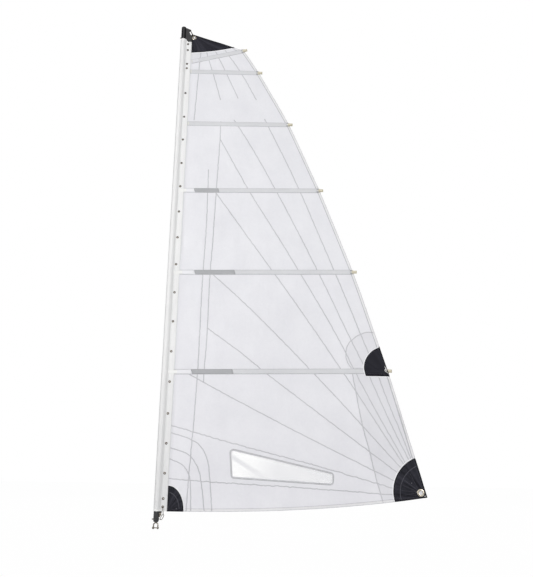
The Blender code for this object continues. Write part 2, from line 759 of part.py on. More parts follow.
def make_spar_foot():
    plug = SPAR_RADIUS - SPAR_WALL - GAP
    top = SPAR_BOTTOM + PLUG_LENGTH
    stem_bore = STEM_RADIUS + GAP
    profile = (
        (FOOT_BORE, top),
        (plug, top),
        (plug, SPAR_BOTTOM),
        (FOOT_RADIUS, SPAR_BOTTOM),
        (FOOT_RADIUS, NOSE_HEIGHT + FOOT_TAPER),
        (FOOT_WAIST_RADIUS, NOSE_HEIGHT + FOOT_NOSE),
        (FOOT_END_RADIUS, NOSE_HEIGHT),
        (stem_bore, NOSE_HEIGHT),
        (stem_bore, FLOOR_HEIGHT),
        (FOOT_BORE, FLOOR_HEIGHT),
    )
    foot = turned_piece("spar_foot", profile, Matrix.Identity(4), "black_plastic", ring=True)
    place = Matrix.Translation((0, 0, FOOT_PIN_HEIGHT)) @ TO_SIDE
    reach = 2 * FOOT_RADIUS
    cut(foot, rod("cut_foot_pin", FOOT_PIN_RADIUS + GAP, -reach, reach, place, None, RING_STEPS))
    eye_edge = FOOT_EYE_X - FOOT_EYE_RADIUS + FOOT_EYE_THICKNESS / 2
    profile = [(0, eye_edge), (FOOT_PIN_RADIUS, eye_edge)] + knob_profile(-FOOT_RADIUS - GAP)
    pin = turned_piece("foot_pin", profile, place, "steel", RING_STEPS)
    eye_place = Matrix.Translation((FOOT_EYE_X, 0, FOOT_PIN_HEIGHT))
    half = FOOT_EYE_THICKNESS / 2
    join(pin, rod("foot_eye", FOOT_EYE_RADIUS, -half, half, eye_place, None, RING_STEPS))
    cut(pin, rod("cut_foot_eye", FOOT_EYE_HOLE, -2 * half, 2 * half, eye_place, None, RING_STEPS))


def make_foot_shackle():
    """A swivel shackle: a bow with two lugs, and a headed stem that turns in the spar's foot."""
    curve = bpy.data.curves.new("foot_shackle", "CURVE")
    curve.dimensions = "3D"
    curve.bevel_depth = BOW_WIRE
    curve.bevel_resolution = WIRE_RESOLUTION
    curve.use_fill_caps = True
    bow = arc((0, BOW_LEG), lambda share: BOW_RADIUS, math.pi, 0)
    points = [(-BOW_RADIUS, 0)] + bow + [(BOW_RADIUS, 0)]
    spline = curve.splines.new("POLY")
    spline.points.add(len(points) - 1)
    for point, (x, z) in zip(spline.points, points):
        point.co = (x, 0, z, 1)
    obj = bpy.data.objects.new("foot_shackle_curve", curve)
    cutters.objects.link(obj)
    shackle = curve_to_mesh(obj, "foot_shackle", "steel")
    for side, x in (("left", -BOW_RADIUS), ("right", BOW_RADIUS)):
        place = Matrix.Translation((x, 0, 0)) @ TO_SIDE
        half = LUG_THICKNESS / 2
        join(shackle, rod(f"lug_{side}", LUG_RADIUS, -half, half, place, None, RING_STEPS))
    head_low = FLOOR_HEIGHT + GAP
    profile = (
        (0, head_low + STEM_HEAD_LENGTH),
        (STEM_HEAD_RADIUS, head_low + STEM_HEAD_LENGTH),
        (STEM_HEAD_RADIUS, head_low),
        (STEM_RADIUS, head_low),
        (STEM_RADIUS, BOW_LEG + BOW_RADIUS),
        (0, BOW_LEG + BOW_RADIUS),
    )
    join(shackle, turned_piece("stem", profile, Matrix.Identity(4), None, RING_STEPS))
    reach = 2 * BOW_RADIUS
    cut(shackle, rod("cut_pin", SHACKLE_PIN_RADIUS + GAP, -reach, reach, TO_SIDE.copy(), None, RING_STEPS))
    smooth(shackle)
    lug_face = BOW_RADIUS + LUG_THICKNESS / 2
    head = -lug_face - GAP
    profile = (
        (0, lug_face + SHACKLE_PIN_END),
        (SHACKLE_PIN_RADIUS, lug_face + SHACKLE_PIN_END),
        (SHACKLE_PIN_RADIUS, head),
        (SHACKLE_PIN_HEAD, head),
        (SHACKLE_PIN_HEAD, head - SHACKLE_PIN_HEAD_LENGTH),
        (0, head - SHACKLE_PIN_HEAD_LENGTH),
    )
    turned_piece("foot_shackle_pin", profile, TO_SIDE.copy(), "steel", RING_STEPS)


def make_link(name, start, end, width, wire, turn):
    """A closed oval link whose end wires are centred on start and end. turn is about its length."""
    along = (end - start).normalized()
    length = (end - start).length
    half = width / 2
    curve = bpy.data.curves.new(name, "CURVE")
    curve.dimensions = "3D"
    curve.bevel_depth = wire
    curve.bevel_resolution = WIRE_RESOLUTION
    far = arc((length - half, 0), lambda share: half, -math.pi / 2, math.pi / 2, LINK_BEND_STEPS)
    near = arc((half, 0), lambda share: half, math.pi / 2, 3 * math.pi / 2, LINK_BEND_STEPS)
    points = far + near
    spline = curve.splines.new("POLY")
    spline.points.add(len(points) - 1)
    spline.use_cyclic_u = True
    for point, (x, y) in zip(spline.points, points):
        point.co = (x, y, 0, 1)
    across = Vector((0, 1, 0))
    axes = Matrix((along, across, along.cross(across))).transposed().to_4x4()
    obj = bpy.data.objects.new(name + "_curve", curve)
    obj.matrix_world = Matrix.Translation(start) @ axes @ Matrix.Rotation(turn, 4, "X")
    cutters.objects.link(obj)
    smooth(curve_to_mesh(obj, name, "steel"))


def link_seat(hole, steps, width, wire, half_stack):
    """How far from a hole's centre a link's end wire rests, where its bend clears both faces."""
    half = width / 2
    bend = half - math.sqrt(half ** 2 - half_stack ** 2)
    return hole * math.cos(math.pi / steps) - wire - bend - 2 * GAP


def make_links():
    size = (HEAD_LINK_WIDTH, HEAD_LINK_WIRE)
    hole = Vector(cap_hole_centre())
    ring = Vector(head_ring_centre())
    down = (ring - hole).normalized()
    start = hole + down * link_seat(LUG_HOLE, EYELET_STEPS, *size, LUG_PLATE / 2)
    ring_half = PATCH_FRONT + GAP + RING_METAL
    end = ring - down * link_seat(HEAD_RING_HOLE, RING_STEPS, *size, ring_half)
    make_link("head_link", Vector((start.x, 0, start.y)), Vector((end.x, 0, end.y)), *size, 0)

    size = (TACK_SHACKLE_WIDTH, TACK_SHACKLE_WIRE)
    eyelet_half = STRIP_THICKNESS / 2 + GAP + EYELET_METAL
    seat = link_seat(EYELET_HOLE, EYELET_STEPS, *size, eyelet_half)
    top = Vector((EYELET_X, 0, TACK_HEIGHT + EYELET_TACK_HEIGHTS[0] - seat))
    low = top + Vector((TACK_SHACKLE_LEAN, 0, -TACK_SHACKLE_LENGTH))
    make_link("tack_shackle", top, low, *size, 0)

    rim = Vector((FOOT_EYE_X + (FOOT_EYE_HOLE + FOOT_EYE_RADIUS) / 2, 0, FOOT_PIN_HEIGHT))
    rim_reach = math.hypot(FOOT_EYE_RADIUS - FOOT_EYE_HOLE, FOOT_EYE_THICKNESS) / 2
    along = (low - rim).normalized()
    link_top = low + along * (TACK_SHACKLE_WIRE + TACK_LINK_WIRE + GAP)
    link_low = rim - along * (rim_reach + TACK_LINK_WIRE + GAP)
    make_link("tack_link", link_low, link_top, TACK_LINK_WIDTH, TACK_LINK_WIRE, math.pi / 2)


def hang_on_swivel():
    """Everything but the shackle and its pin turns on the shackle's stem."""
    swivel = bpy.data.objects.new("sail_swivel", None)
    for obj in list(sail.objects):
        if not obj.name.startswith("foot_shackle"):
            obj.parent = swivel
    sail.objects.link(swivel)


clear_scene()
sail = new_collection("mainsail")
cutters = new_collection("cutters")

make_cloth()
make_head_patch()
make_tack_patch()
make_clew_patch()
make_reef_patch()
make_rings()
make_luff_strip()
make_eyelets()
for batten_number in range(1, len(BATTENS) + 1):
    make_pocket(batten_number)
    make_batten(batten_number)
make_spar()
make_spar_cap()
make_spar_foot()
make_foot_shackle()
make_links()
hang_on_swivel()
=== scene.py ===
import json
import math

import bmesh
import bpy
from mathutils import Matrix, Vector, geometry, noise


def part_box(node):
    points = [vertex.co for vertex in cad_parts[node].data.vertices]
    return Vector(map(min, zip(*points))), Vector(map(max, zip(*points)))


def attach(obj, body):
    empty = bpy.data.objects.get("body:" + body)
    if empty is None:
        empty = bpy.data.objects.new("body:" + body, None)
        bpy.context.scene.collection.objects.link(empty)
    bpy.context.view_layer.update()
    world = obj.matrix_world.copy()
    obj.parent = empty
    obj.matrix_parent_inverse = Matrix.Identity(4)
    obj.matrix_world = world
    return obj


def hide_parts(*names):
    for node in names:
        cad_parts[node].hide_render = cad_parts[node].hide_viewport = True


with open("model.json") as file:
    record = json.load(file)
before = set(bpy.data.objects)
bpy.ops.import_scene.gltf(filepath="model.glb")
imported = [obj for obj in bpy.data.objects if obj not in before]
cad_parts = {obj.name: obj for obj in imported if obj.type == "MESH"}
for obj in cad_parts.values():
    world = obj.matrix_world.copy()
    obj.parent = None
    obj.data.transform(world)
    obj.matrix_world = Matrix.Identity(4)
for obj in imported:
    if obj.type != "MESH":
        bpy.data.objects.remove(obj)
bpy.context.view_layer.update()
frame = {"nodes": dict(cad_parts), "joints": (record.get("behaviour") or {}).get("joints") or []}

# Metres. The sail lies in the XZ plane, its front faces -Y, and X runs aft from the spar.

# Places that the frame gives
stripLow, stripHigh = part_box("luff_strip")
clothLow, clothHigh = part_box("sail_cloth")
tackHeight = clothLow.z

sailSizes = {
    "clewRise": 0.160,        # how far the clew stands above the tack
    "footCurve": 2.4,         # how late the foot starts to rise
    "headAft": 0.0011,        # from the strip to the head's corner
    "headWidth": 0.508,
    "headDrop": 0.179,
    "capPastLeech": 0.012,    # from the leech to the middle of a batten cap
}


def middleOf(node):
    low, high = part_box(node)
    return (low + high) / 2


def flat(point):
    return Vector((point[0], point[-1]))


def angleOf(run):
    return math.atan2(run.y, run.x)


def smoothStep(value, low, high):
    share = min(max((value - low) / (high - low), 0.0), 1.0)
    return share * share * (3 - 2 * share)


class BattenLine:
    def __init__(self, number):
        joint = next(joint for joint in frame["joints"] if joint["name"] == f"batten_{number}_draw")
        self.along = Vector((joint["axis"][0], joint["axis"][2])).normalized()
        self.across = Vector((-self.along.y, self.along.x))
        self.leech = flat(middleOf(f"batten_cap_{number}")) - self.along * sailSizes["capPastLeech"]
        self.length = (self.leech.x - stripHigh.x) / self.along.x
        self.luff = self.leech - self.along * self.length

    def point(self, along, across, depth=0.0):
        spot = self.luff + self.along * along + self.across * across
        return Vector((spot.x, -depth, spot.y))


battens = [BattenLine(number) for number in range(1, 7)]
tackCorner = Vector((stripHigh.x, tackHeight))
clewCorner = Vector((clothHigh.x, tackHeight + sailSizes["clewRise"]))
headCorner = Vector((stripHigh.x + sailSizes["headAft"], clothHigh.z))
headTip = headCorner + Vector((sailSizes["headWidth"], -sailSizes["headDrop"]))
headRing = flat(middleOf("head_ring"))
clewRing = flat(middleOf("clew_ring"))
cornerHole = clewCorner + Vector((-0.021, 0.012))
leechCorners = [clewCorner] + [batten.leech for batten in reversed(battens)] + [headTip]


def footHeight(x):
    share = max(0.0, (x - stripHigh.x) / (clewCorner.x - stripHigh.x))
    return tackHeight + sailSizes["clewRise"] * share ** sailSizes["footCurve"]


def leechAt(height):
    for low, high in zip(leechCorners, leechCorners[1:]):
        if height <= high.y:
            return low.lerp(high, (height - low.y) / (high.y - low.y))
    return headTip.copy()


# Shape of the stretched cloth: how far each point stands off the flat plane

ripple = {
    "belly": 0.0050,          # sag between two battens
    "wave": 0.0075,           # broad soft waves
    "wrinkle": 0.0022,        # finer ones
    "crease": 0.0020,         # pulls that run out of the corners
    "reach": 0.22,            # how far from a batten the cloth is free
}
heldSpots = (
    (headRing, 0.045),
    (clewRing, 0.060),
    (cornerHole, 0.020),
    (clewCorner, 0.050),
    (headTip, 0.020),
)
pullSpots = (
    (clewCorner, 0.95, 19),
    (tackCorner, 0.70, 15),
    (headCorner, 0.70, 17),
)


def clothDepth(x, z):
    spot = Vector((x, z))
    free = smoothStep(x, stripHigh.x + 0.012, stripHigh.x + 0.20)
    for batten in battens:
        away = abs((spot - batten.luff).dot(batten.across))
        free *= smoothStep(away, 0.034, ripple["reach"])
    for centre, radius in heldSpots:
        free *= smoothStep((spot - centre).length, radius, radius + 0.10)
    if free == 0.0:
        return 0.0
    wave = noise.noise(Vector((x * 1.9, 4.0, z * 1.5))) * ripple["wave"]
    wrinkle = noise.noise(Vector((x * 5.2 + z * 2.1, 9.0, z * 3.6))) * ripple["wrinkle"]
    crease = 0.0
    for centre, reach, folds in pullSpots:
        away = spot - centre
        fade = 1.0 - smoothStep(away.length, 0.1, reach)
        crease += fade * math.sin(angleOf(away) * folds) * ripple["crease"]
    return free * (wave + wrinkle + crease - ripple["belly"])


# Making shapes


def onCloth(spot, face, lift):
    return Vector((spot[0], clothDepth(spot[0], spot[1]) + face * lift, spot[1]))


def smoothLine(corners, step=0.03):
    points = [Vector(corner) for corner in corners]
    slopes = []
    for index, point in enumerate(points):
        into = point - points[max(index - 1, 0)]
        out = points[min(index + 1, len(points) - 1)] - point
        back, ahead = into.length, out.length
        slopes.append((into.normalized() * ahead + out.normalized() * back) / (back + ahead))
    slopes[0] = (points[1] - points[0]).normalized()
    slopes[-1] = (points[-1] - points[-2]).normalized()
    line = []
    for start, end, leave, arrive in zip(points, points[1:], slopes, slopes[1:]):
        third = (end - start).length / 3
        count = max(2, math.ceil(3 * third / step) + 1)
        line += geometry.interpolate_bezier(start, start + leave * third, end - arrive * third, end, count)[:-1]
    return [Vector(point[:2]) for point in line] + [points[-1]]


def evenLine(line, pitch):
    lengths = [0.0]
    for start, end in zip(line, line[1:]):
        lengths.append(lengths[-1] + (end - start).length)
    count = max(2, round(lengths[-1] / pitch))
    made, index = [], 0
    for step in range(count + 1):
        place = lengths[-1] * step / count
        while index < len(line) - 2 and lengths[index + 1] < place:
            index += 1
        run = lengths[index + 1] - lengths[index]
        made.append(line[index].lerp(line[index + 1], (place - lengths[index]) / run if run else 0.0))
    return made


def leftOf(line, index):
    # Across the line, towards its left
    run = (line[min(index + 1, len(line) - 1)] - line[max(index - 1, 0)]).normalized()
    return Vector((-run.y, run.x))


def sideways(line, distance):
    return [spot + leftOf(line, index) * distance for index, spot in enumerate(line)]


def lengthOf(line):
    return sum((end - start).length for start, end in zip(line, line[1:]))


def arcLine(centre, radiusAt, start, end, steps=24):
    line = []
    for step in range(steps + 1):
        share = step / steps
        angle = start + (end - start) * share
        line.append(centre + Vector((math.cos(angle), math.sin(angle))) * radiusAt(share))
    return line


def circleLine(centre, radius, steps=24):
    return arcLine(centre, lambda share: radius, 0.0, math.tau * (1 - 1 / steps), steps - 1)


def gridShape(along, across, place, size):
    shape = bmesh.new()
    bmesh.ops.create_grid(shape, x_segments=along, y_segments=across, size=0.5)
    layer = shape.loops.layers.uv.new("UVMap")
    for face in shape.faces:
        for loop in face.loops:
            spot = loop.vert.co
            loop[layer].uv = ((spot.x + 0.5) * size[0], (spot.y + 0.5) * size[1])
    for vert in shape.verts:
        vert.co = place(vert.co.x + 0.5, vert.co.y + 0.5)
    return shape


def flatShape(outlines, cell):
    shape = bmesh.new()
    for outline in outlines:
        ring = [shape.verts.new((spot[0], 0, spot[1])) for spot in outline]
        for first, second in zip(ring, ring[1:] + ring[:1]):
            shape.edges.new((first, second))
    bmesh.ops.triangle_fill(shape, use_beauty=True, edges=shape.edges[:], normal=(0, -1, 0))
    for axis in (2, 0):
        places = [vert.co[axis] for vert in shape.verts]
        count = math.floor((max(places) - min(places)) / cell)
        for step in range(1, count + 1):
            spot, normal = Vector(), Vector()
            spot[axis] = min(places) + step * cell
            normal[axis] = 1.0
            everything = shape.verts[:] + shape.edges[:] + shape.faces[:]
            bmesh.ops.bisect_plane(shape, geom=everything, dist=1e-6, plane_co=spot, plane_no=normal)
    slanted = []
    for edge in shape.edges:
        run = edge.verts[0].co - edge.verts[1].co
        inside = not any(vert.is_boundary for vert in edge.verts)
        if inside and abs(run.x) > 1e-5 and abs(run.z) > 1e-5:
            slanted.append(edge)
    bmesh.ops.dissolve_edges(shape, edges=slanted, use_verts=False)
    bmesh.ops.reverse_faces(shape, faces=[face for face in shape.faces if face.normal.y > 0])
    return shape


def layOnCloth(shape, face=-1, lift=0.0):
    for vert in shape.verts:
        vert.co.y = clothDepth(vert.co.x, vert.co.z) + face * lift
    if face > 0:
        bmesh.ops.reverse_faces(shape, faces=shape.faces[:])
    return shape


def plateShape(outline, depth, cell):
    shape = flatShape([outline], cell)
    bmesh.ops.translate(shape, verts=shape.verts[:], vec=(0, depth, 0))
    return shape


def turned(profile, place, steps):
    shape = bmesh.new()
    points = [shape.verts.new((radius, 0, height)) for radius, height in profile]
    edges = [shape.edges.new(pair) for pair in zip(points, points[1:])]
    bmesh.ops.spin(
        shape, geom=points + edges, axis=(0, 0, 1), cent=(0, 0, 0), angle=math.tau, steps=steps, use_merge=True)
    bmesh.ops.remove_doubles(shape, verts=shape.verts[:], dist=1e-6)
    bmesh.ops.recalc_face_normals(shape, faces=shape.faces[:])
    bmesh.ops.transform(shape, matrix=place, verts=shape.verts[:])
    return shape


def wireShape(line, radius, closed=False, sides=2):
    curve = bpy.data.curves.new("wire", "CURVE")
    curve.dimensions = "3D"
    curve.bevel_depth = radius
    curve.bevel_resolution = sides
    curve.use_fill_caps = not closed
    spline = curve.splines.new("POLY")
    spline.points.add(len(line) - 1)
    spline.use_cyclic_u = closed
    for point, spot in zip(spline.points, line):
        point.co = (*spot, 1.0)
    holder = bpy.data.objects.new("wire", curve)
    mesh = bpy.data.meshes.new_from_object(holder)
    shape = bmesh.new()
    shape.from_mesh(mesh)
    bmesh.ops.remove_doubles(shape, verts=shape.verts[:], dist=1e-6)
    bmesh.ops.recalc_face_normals(shape, faces=shape.faces[:])
    bpy.data.objects.remove(holder)
    bpy.data.curves.remove(curve)
    bpy.data.meshes.remove(mesh)
    return shape


def merged(shapes):
    whole = shapes[0]
    for shape in shapes[1:]:
        mesh = bpy.data.meshes.new("part")
        shape.to_mesh(mesh)
        whole.from_mesh(mesh)
        bpy.data.meshes.remove(mesh)
        shape.free()
    return whole


slotOf = {}               # the slot of each finish, by its name
bothFaces = (("Front", -1), ("Back", 1))


def addPiece(name, shape, finish, thick=0.0, side=-1.0, body="sail", stands=(), slot="own", sharp=40):
    mesh = bpy.data.meshes.new(name)
    shape.to_mesh(mesh)
    shape.free()
    mesh.shade_smooth()
    mesh.set_sharp_from_angle(angle=math.radians(sharp))
    mesh.materials.append(finish)
    piece = bpy.data.objects.new(name, mesh)
    bpy.context.scene.collection.objects.link(piece)
    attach(piece, body)
    if stands:
        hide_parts(*stands)
    slot = slotOf[finish.name] if slot == "own" else slot
    if thick:
        solid = piece.modifiers.new("Thickness", "SOLIDIFY")
        solid.thickness = thick
        solid.offset = side
        solid.use_even_offset = True
    return piece


def addSides(name, build, finish, thick=0.0, stands=()):
    # The same piece on the front and on the back of the cloth, of which the front one stands for the node
    return [
        addPiece(name + side, build(face), finish, thick, stands=stands if face < 0 else ())
        for side, face in bothFaces
    ]


def roundEdges(piece, width, segments=2):
    bevel = piece.modifiers.new("Edges", "BEVEL")
    bevel.width = width
    bevel.segments = segments
    bevel.limit_method = "ANGLE"
    bevel.angle_limit = math.radians(40)
    return piece


# Finishes


def put(tree, kind, inputs=None, **settings):
    made = tree.nodes.new(kind)
    for name, value in settings.items():
        setattr(made, name, value)
    for socket, value in (inputs or {}).items():
        if isinstance(value, bpy.types.NodeSocket):
            tree.links.new(value, made.inputs[socket])
        else:
            made.inputs[socket].default_value = value
    return made


def mixColour(tree, factor, first, second, blend="MIX"):
    first, second = [(*colour, 1.0) if isinstance(colour, tuple) else colour for colour in (first, second)]
    inputs = {0: factor, 6: first, 7: second}
    return put(tree, "ShaderNodeMix", inputs, data_type="RGBA", blend_type=blend).outputs[2]


def newGroup(name, inputs, outputs):
    group = bpy.data.node_groups.new(name, "ShaderNodeTree")
    for socket, value in inputs.items():
        kind = "NodeSocketVector" if isinstance(value, tuple) else "NodeSocketFloat"
        group.interface.new_socket(socket, in_out="INPUT", socket_type=kind).default_value = value
    for socket, kind in outputs.items():
        group.interface.new_socket(socket, in_out="OUTPUT", socket_type=kind)
    return group, group.nodes.new("NodeGroupInput").outputs, group.nodes.new("NodeGroupOutput").inputs


def mathNode(tree, operation, first, second=0.0, third=0.0):
    return put(tree, "ShaderNodeMath", {0: first, 1: second, 2: third}, operation=operation).outputs[0]


def objectSpot(tree):
    return put(tree, "ShaderNodeTexCoord").outputs["Object"]


def objectAxes(tree):
    return put(tree, "ShaderNodeSeparateXYZ", {0: objectSpot(tree)}).outputs


def bumpNode(tree, height, distance, strength):
    return put(tree, "ShaderNodeBump", {"Height": height, "Distance": distance, "Strength": strength})


def makeWeaveGroup():
    tree, given, result = newGroup("clothWeave", {"Pitch": 0.001}, {"Height": "NodeSocketFloat"})
    parts = objectAxes(tree)
    turns = mathNode(tree, "DIVIDE", math.tau, given["Pitch"])
    waves = [mathNode(tree, "SINE", mathNode(tree, "MULTIPLY", parts[axis], turns)) for axis in ("X", "Z")]
    crossed = mathNode(tree, "MULTIPLY", *waves)
    tree.links.new(mathNode(tree, "MULTIPLY_ADD", crossed, 0.5, 0.5), result["Height"])
    return tree


def makeMottleGroup():
    inputs = {"Scale": 3.0, "Stretch": (1.0, 1.0, 1.0)}
    tree, given, result = newGroup("softMottle", inputs, {"Value": "NodeSocketFloat"})
    stretch = {0: objectSpot(tree), 1: given["Stretch"]}
    spot = put(tree, "ShaderNodeVectorMath", stretch, operation="MULTIPLY").outputs[0]
    noiseInputs = {"Vector": spot, "Scale": given["Scale"], "Detail": 5.0, "Roughness": 0.55}
    tree.links.new(put(tree, "ShaderNodeTexNoise", noiseInputs).outputs["Fac"], result["Value"])
    return tree


def useGroup(tree, group, inputs):
    return put(tree, "ShaderNodeGroup", inputs, node_tree=group).outputs[0]


weaveGroup = makeWeaveGroup()
mottleGroup = makeMottleGroup()


def newMaterial(name, slot, roughness, metallic=0.0, **fixed):
    material = bpy.data.materials.new(name)
    material.use_nodes = True
    slotOf[material.name] = slot
    tree = material.node_tree
    shader = tree.nodes["Principled BSDF"]
    shader.inputs["Roughness"].default_value = roughness
    shader.inputs["Metallic"].default_value = metallic
    for socket, value in fixed.items():
        shader.inputs[socket.replace("_", " ")].default_value = value
    return material, tree, shader


def linkShader(tree, shader, colour, bump):
    tree.links.new(colour, shader.inputs["Base Color"])
    tree.links.new(bump.outputs["Normal"], shader.inputs["Normal"])


def remap(tree, value, low, high, start=0.0, end=1.0):
    inputs = {"Value": value, "From Min": start, "From Max": end, "To Min": low, "To Max": high}
    return put(tree, "ShaderNodeMapRange", inputs).outputs["Result"]


def clothMaterial(
        name, slot, pale, dark, pitch, weaveDepth, mottle=3.0, roughness=0.55, fade=None, shine=0.3, shades=(),
        wrinkle=0.0):
    material, tree, shader = newMaterial(name, slot, roughness, Specular_IOR_Level=shine)
    cloud = useGroup(tree, mottleGroup, {"Scale": mottle})
    fine = useGroup(tree, mottleGroup, {"Scale": mottle * 14})
    both = mathNode(tree, "MULTIPLY_ADD", fine, 0.35, cloud)
    colour = mixColour(tree, remap(tree, both, 0.0, 1.0, 0.42, 0.93), dark, pale)
    # Painted shade: the colour darkens towards the bottom and fades out upwards
    if fade:
        share = remap(tree, objectAxes(tree)["Z"], 1.0, 0.0, fade["low"], fade["high"])
        colour = mixColour(tree, share, colour, fade["colour"], "MULTIPLY")
    for centre, reach, strength in shades:
        # A soft shadow in a fold that runs up the piece
        away = mathNode(tree, "ABSOLUTE", mathNode(tree, "SUBTRACT", objectAxes(tree)["X"], centre))
        share = remap(tree, away, strength, 0.0, 0.0, reach)
        if wrinkle:
            share = mathNode(tree, "MULTIPLY", share, remap(tree, cloud, 0.2, 1.6, 0.35, 0.65))
        colour = mixColour(tree, share, colour, (0.0, 0.0, 0.0))
    tree.links.new(remap(tree, fine, roughness - 0.06, roughness + 0.06), shader.inputs["Roughness"])
    bump = bumpNode(tree, useGroup(tree, weaveGroup, {"Pitch": pitch}), weaveDepth, 0.6)
    if wrinkle:
        folds = useGroup(tree, mottleGroup, {"Scale": 5.0, "Stretch": (1.6, 1.0, 0.7)})
        tree.links.new(bumpNode(tree, folds, wrinkle, 0.7).outputs["Normal"], bump.inputs["Normal"])
    linkShader(tree, shader, colour, bump)
    return material


sailLowShade = {"low": 0.1, "high": 3.0, "colour": (0.998, 0.993, 0.996)}        # painted shade, darker towards the bottom and fading out upwards
# painted shade on the luff tape and sleeve, darker towards the bottom
tapeLowShade = {"low": 0.15, "high": 1.7, "colour": (0.895, 0.895, 0.90)}
# Shadows in folds: centre, reach and strength
tapeShades = ((-0.031, 0.012, 0.48), (0.033, 0.009, 0.11), (0.098, 0.008, 0.10))
luffShades = ((0.103, 0.032, 0.10),)
matt = {"mottle": 9, "roughness": 0.7, "shine": 0.12}
sailMaterial = clothMaterial(
    "sailcloth", "sailcloth", (0.815, 0.815, 0.845), (0.750, 0.750, 0.785), 0.0011, 0.00012,
    fade=sailLowShade, shades=luffShades, wrinkle=0.016)
doubleMaterial = clothMaterial(
    "sailcloth_double", "sailcloth", (0.765, 0.765, 0.795), (0.705, 0.705, 0.74), 0.0011, 0.00012,
    fade=sailLowShade, wrinkle=0.016)
seamMaterial = clothMaterial(
    "sailcloth_seam", "sailcloth", (0.60, 0.60, 0.63), (0.50, 0.50, 0.53), 0.0011, 0.00012, fade=sailLowShade)
hemMaterial = clothMaterial(
    "sailcloth_hem", "sailcloth", (0.81, 0.81, 0.82), (0.75, 0.75, 0.76), 0.0009, 0.0001, fade=sailLowShade)
paleMaterial = clothMaterial(
    "sailcloth_pale", "pocket_cloth", (0.84, 0.84, 0.865), (0.79, 0.79, 0.82), 0.0011, 0.0001, fade=sailLowShade)
tapeMaterial = clothMaterial(
    "luff_tape", "luff_tape", (0.850, 0.850, 0.848), (0.800, 0.800, 0.80), 0.0013, 0.00015,
    fade=tapeLowShade, shades=tapeShades)
lineMaterial, pocketMaterial, pocketEdgeMaterial, greyMaterial, hemBandMaterial = [
    clothMaterial(*values) for values in (
        ("tape_line", "sailcloth", (0.52, 0.52, 0.55), (0.43, 0.43, 0.46), 0.0009, 0.0001, 30),
        ("pocket_cloth", "pocket_cloth", (0.685, 0.69, 0.71), (0.62, 0.625, 0.645), 0.0012, 0.00014),
        ("pocket_edge", "pocket_cloth", (0.50, 0.50, 0.53), (0.44, 0.44, 0.47), 0.0012, 0.00014),
        ("pocket_sleeve_grey", "pocket_cloth", (0.44, 0.445, 0.46), (0.39, 0.395, 0.41), 0.0012, 0.00016),
        ("tape_hem", "luff_tape", (0.88, 0.88, 0.87), (0.82, 0.82, 0.81), 0.0013, 0.00015),
    )]
whiteEdgeMaterial, windowEdgeMaterial, threadMaterial = [clothMaterial(*values) for values in (
    ("white_edge", "sailcloth", (0.90, 0.90, 0.92), (0.86, 0.86, 0.88), 0.0011, 0.0001),
    ("window_edge", "sailcloth", (0.60, 0.60, 0.62), (0.47, 0.47, 0.49), 0.0009, 0.0001, 20),
    ("pale_thread", None, (0.70, 0.70, 0.71), (0.60, 0.60, 0.61), 0.0006, 0.0001, 40),
)]
borderMaterial = clothMaterial(
    "black_cloth_edge", "black_cloth", (0.010, 0.010, 0.015), (0.006, 0.006, 0.010), 0.0012, 0.00018, **matt)
ridgeMaterial = clothMaterial(
    "black_cloth_ridge", "black_cloth", (0.085, 0.085, 0.10), (0.050, 0.050, 0.062), 0.0012, 0.00018, **matt)
blackThreadMaterial = clothMaterial(
    "dark_thread", None, (0.12, 0.12, 0.13), (0.08, 0.08, 0.09), 0.0006, 0.0001, mottle=40, shine=0.15)


def patchMaterial(name, pale, dark):
    # Layers of black cloth that fan out of a corner
    material, tree, shader = newMaterial(name, "black_cloth", 0.68, Specular_IOR_Level=0.15)
    fan = put(tree, "ShaderNodeUVMap", uv_map="UVMap").outputs["UV"]
    inputs = {"Vector": fan, "Scale": 1.0, "Detail": 3.0, "Roughness": 0.5}
    bands = put(tree, "ShaderNodeTexNoise", inputs).outputs["Fac"]
    both = mathNode(tree, "MULTIPLY_ADD", useGroup(tree, mottleGroup, {"Scale": 60.0}), 0.25, bands)
    colour = mixColour(tree, remap(tree, both, 0.0, 1.0, 0.48, 0.78), dark, pale)
    height = mathNode(tree, "MULTIPLY_ADD", bands, 3.0, useGroup(tree, weaveGroup, {"Pitch": 0.0012}))
    linkShader(tree, shader, colour, bumpNode(tree, height, 0.0003, 0.6))
    return material


blackMaterial = patchMaterial("black_cloth", (0.033, 0.033, 0.044), (0.007, 0.007, 0.011))
reefMaterial = patchMaterial("black_cloth_reef", (0.020, 0.020, 0.027), (0.014, 0.014, 0.020))


# A dull fold runs down through the film from its luff end, with clear film on both sides.
filmFold = {"luff": (0.71, 0.642), "slope": 0.55, "low": (-0.006, 0.004), "high": (0.030, 0.055)}


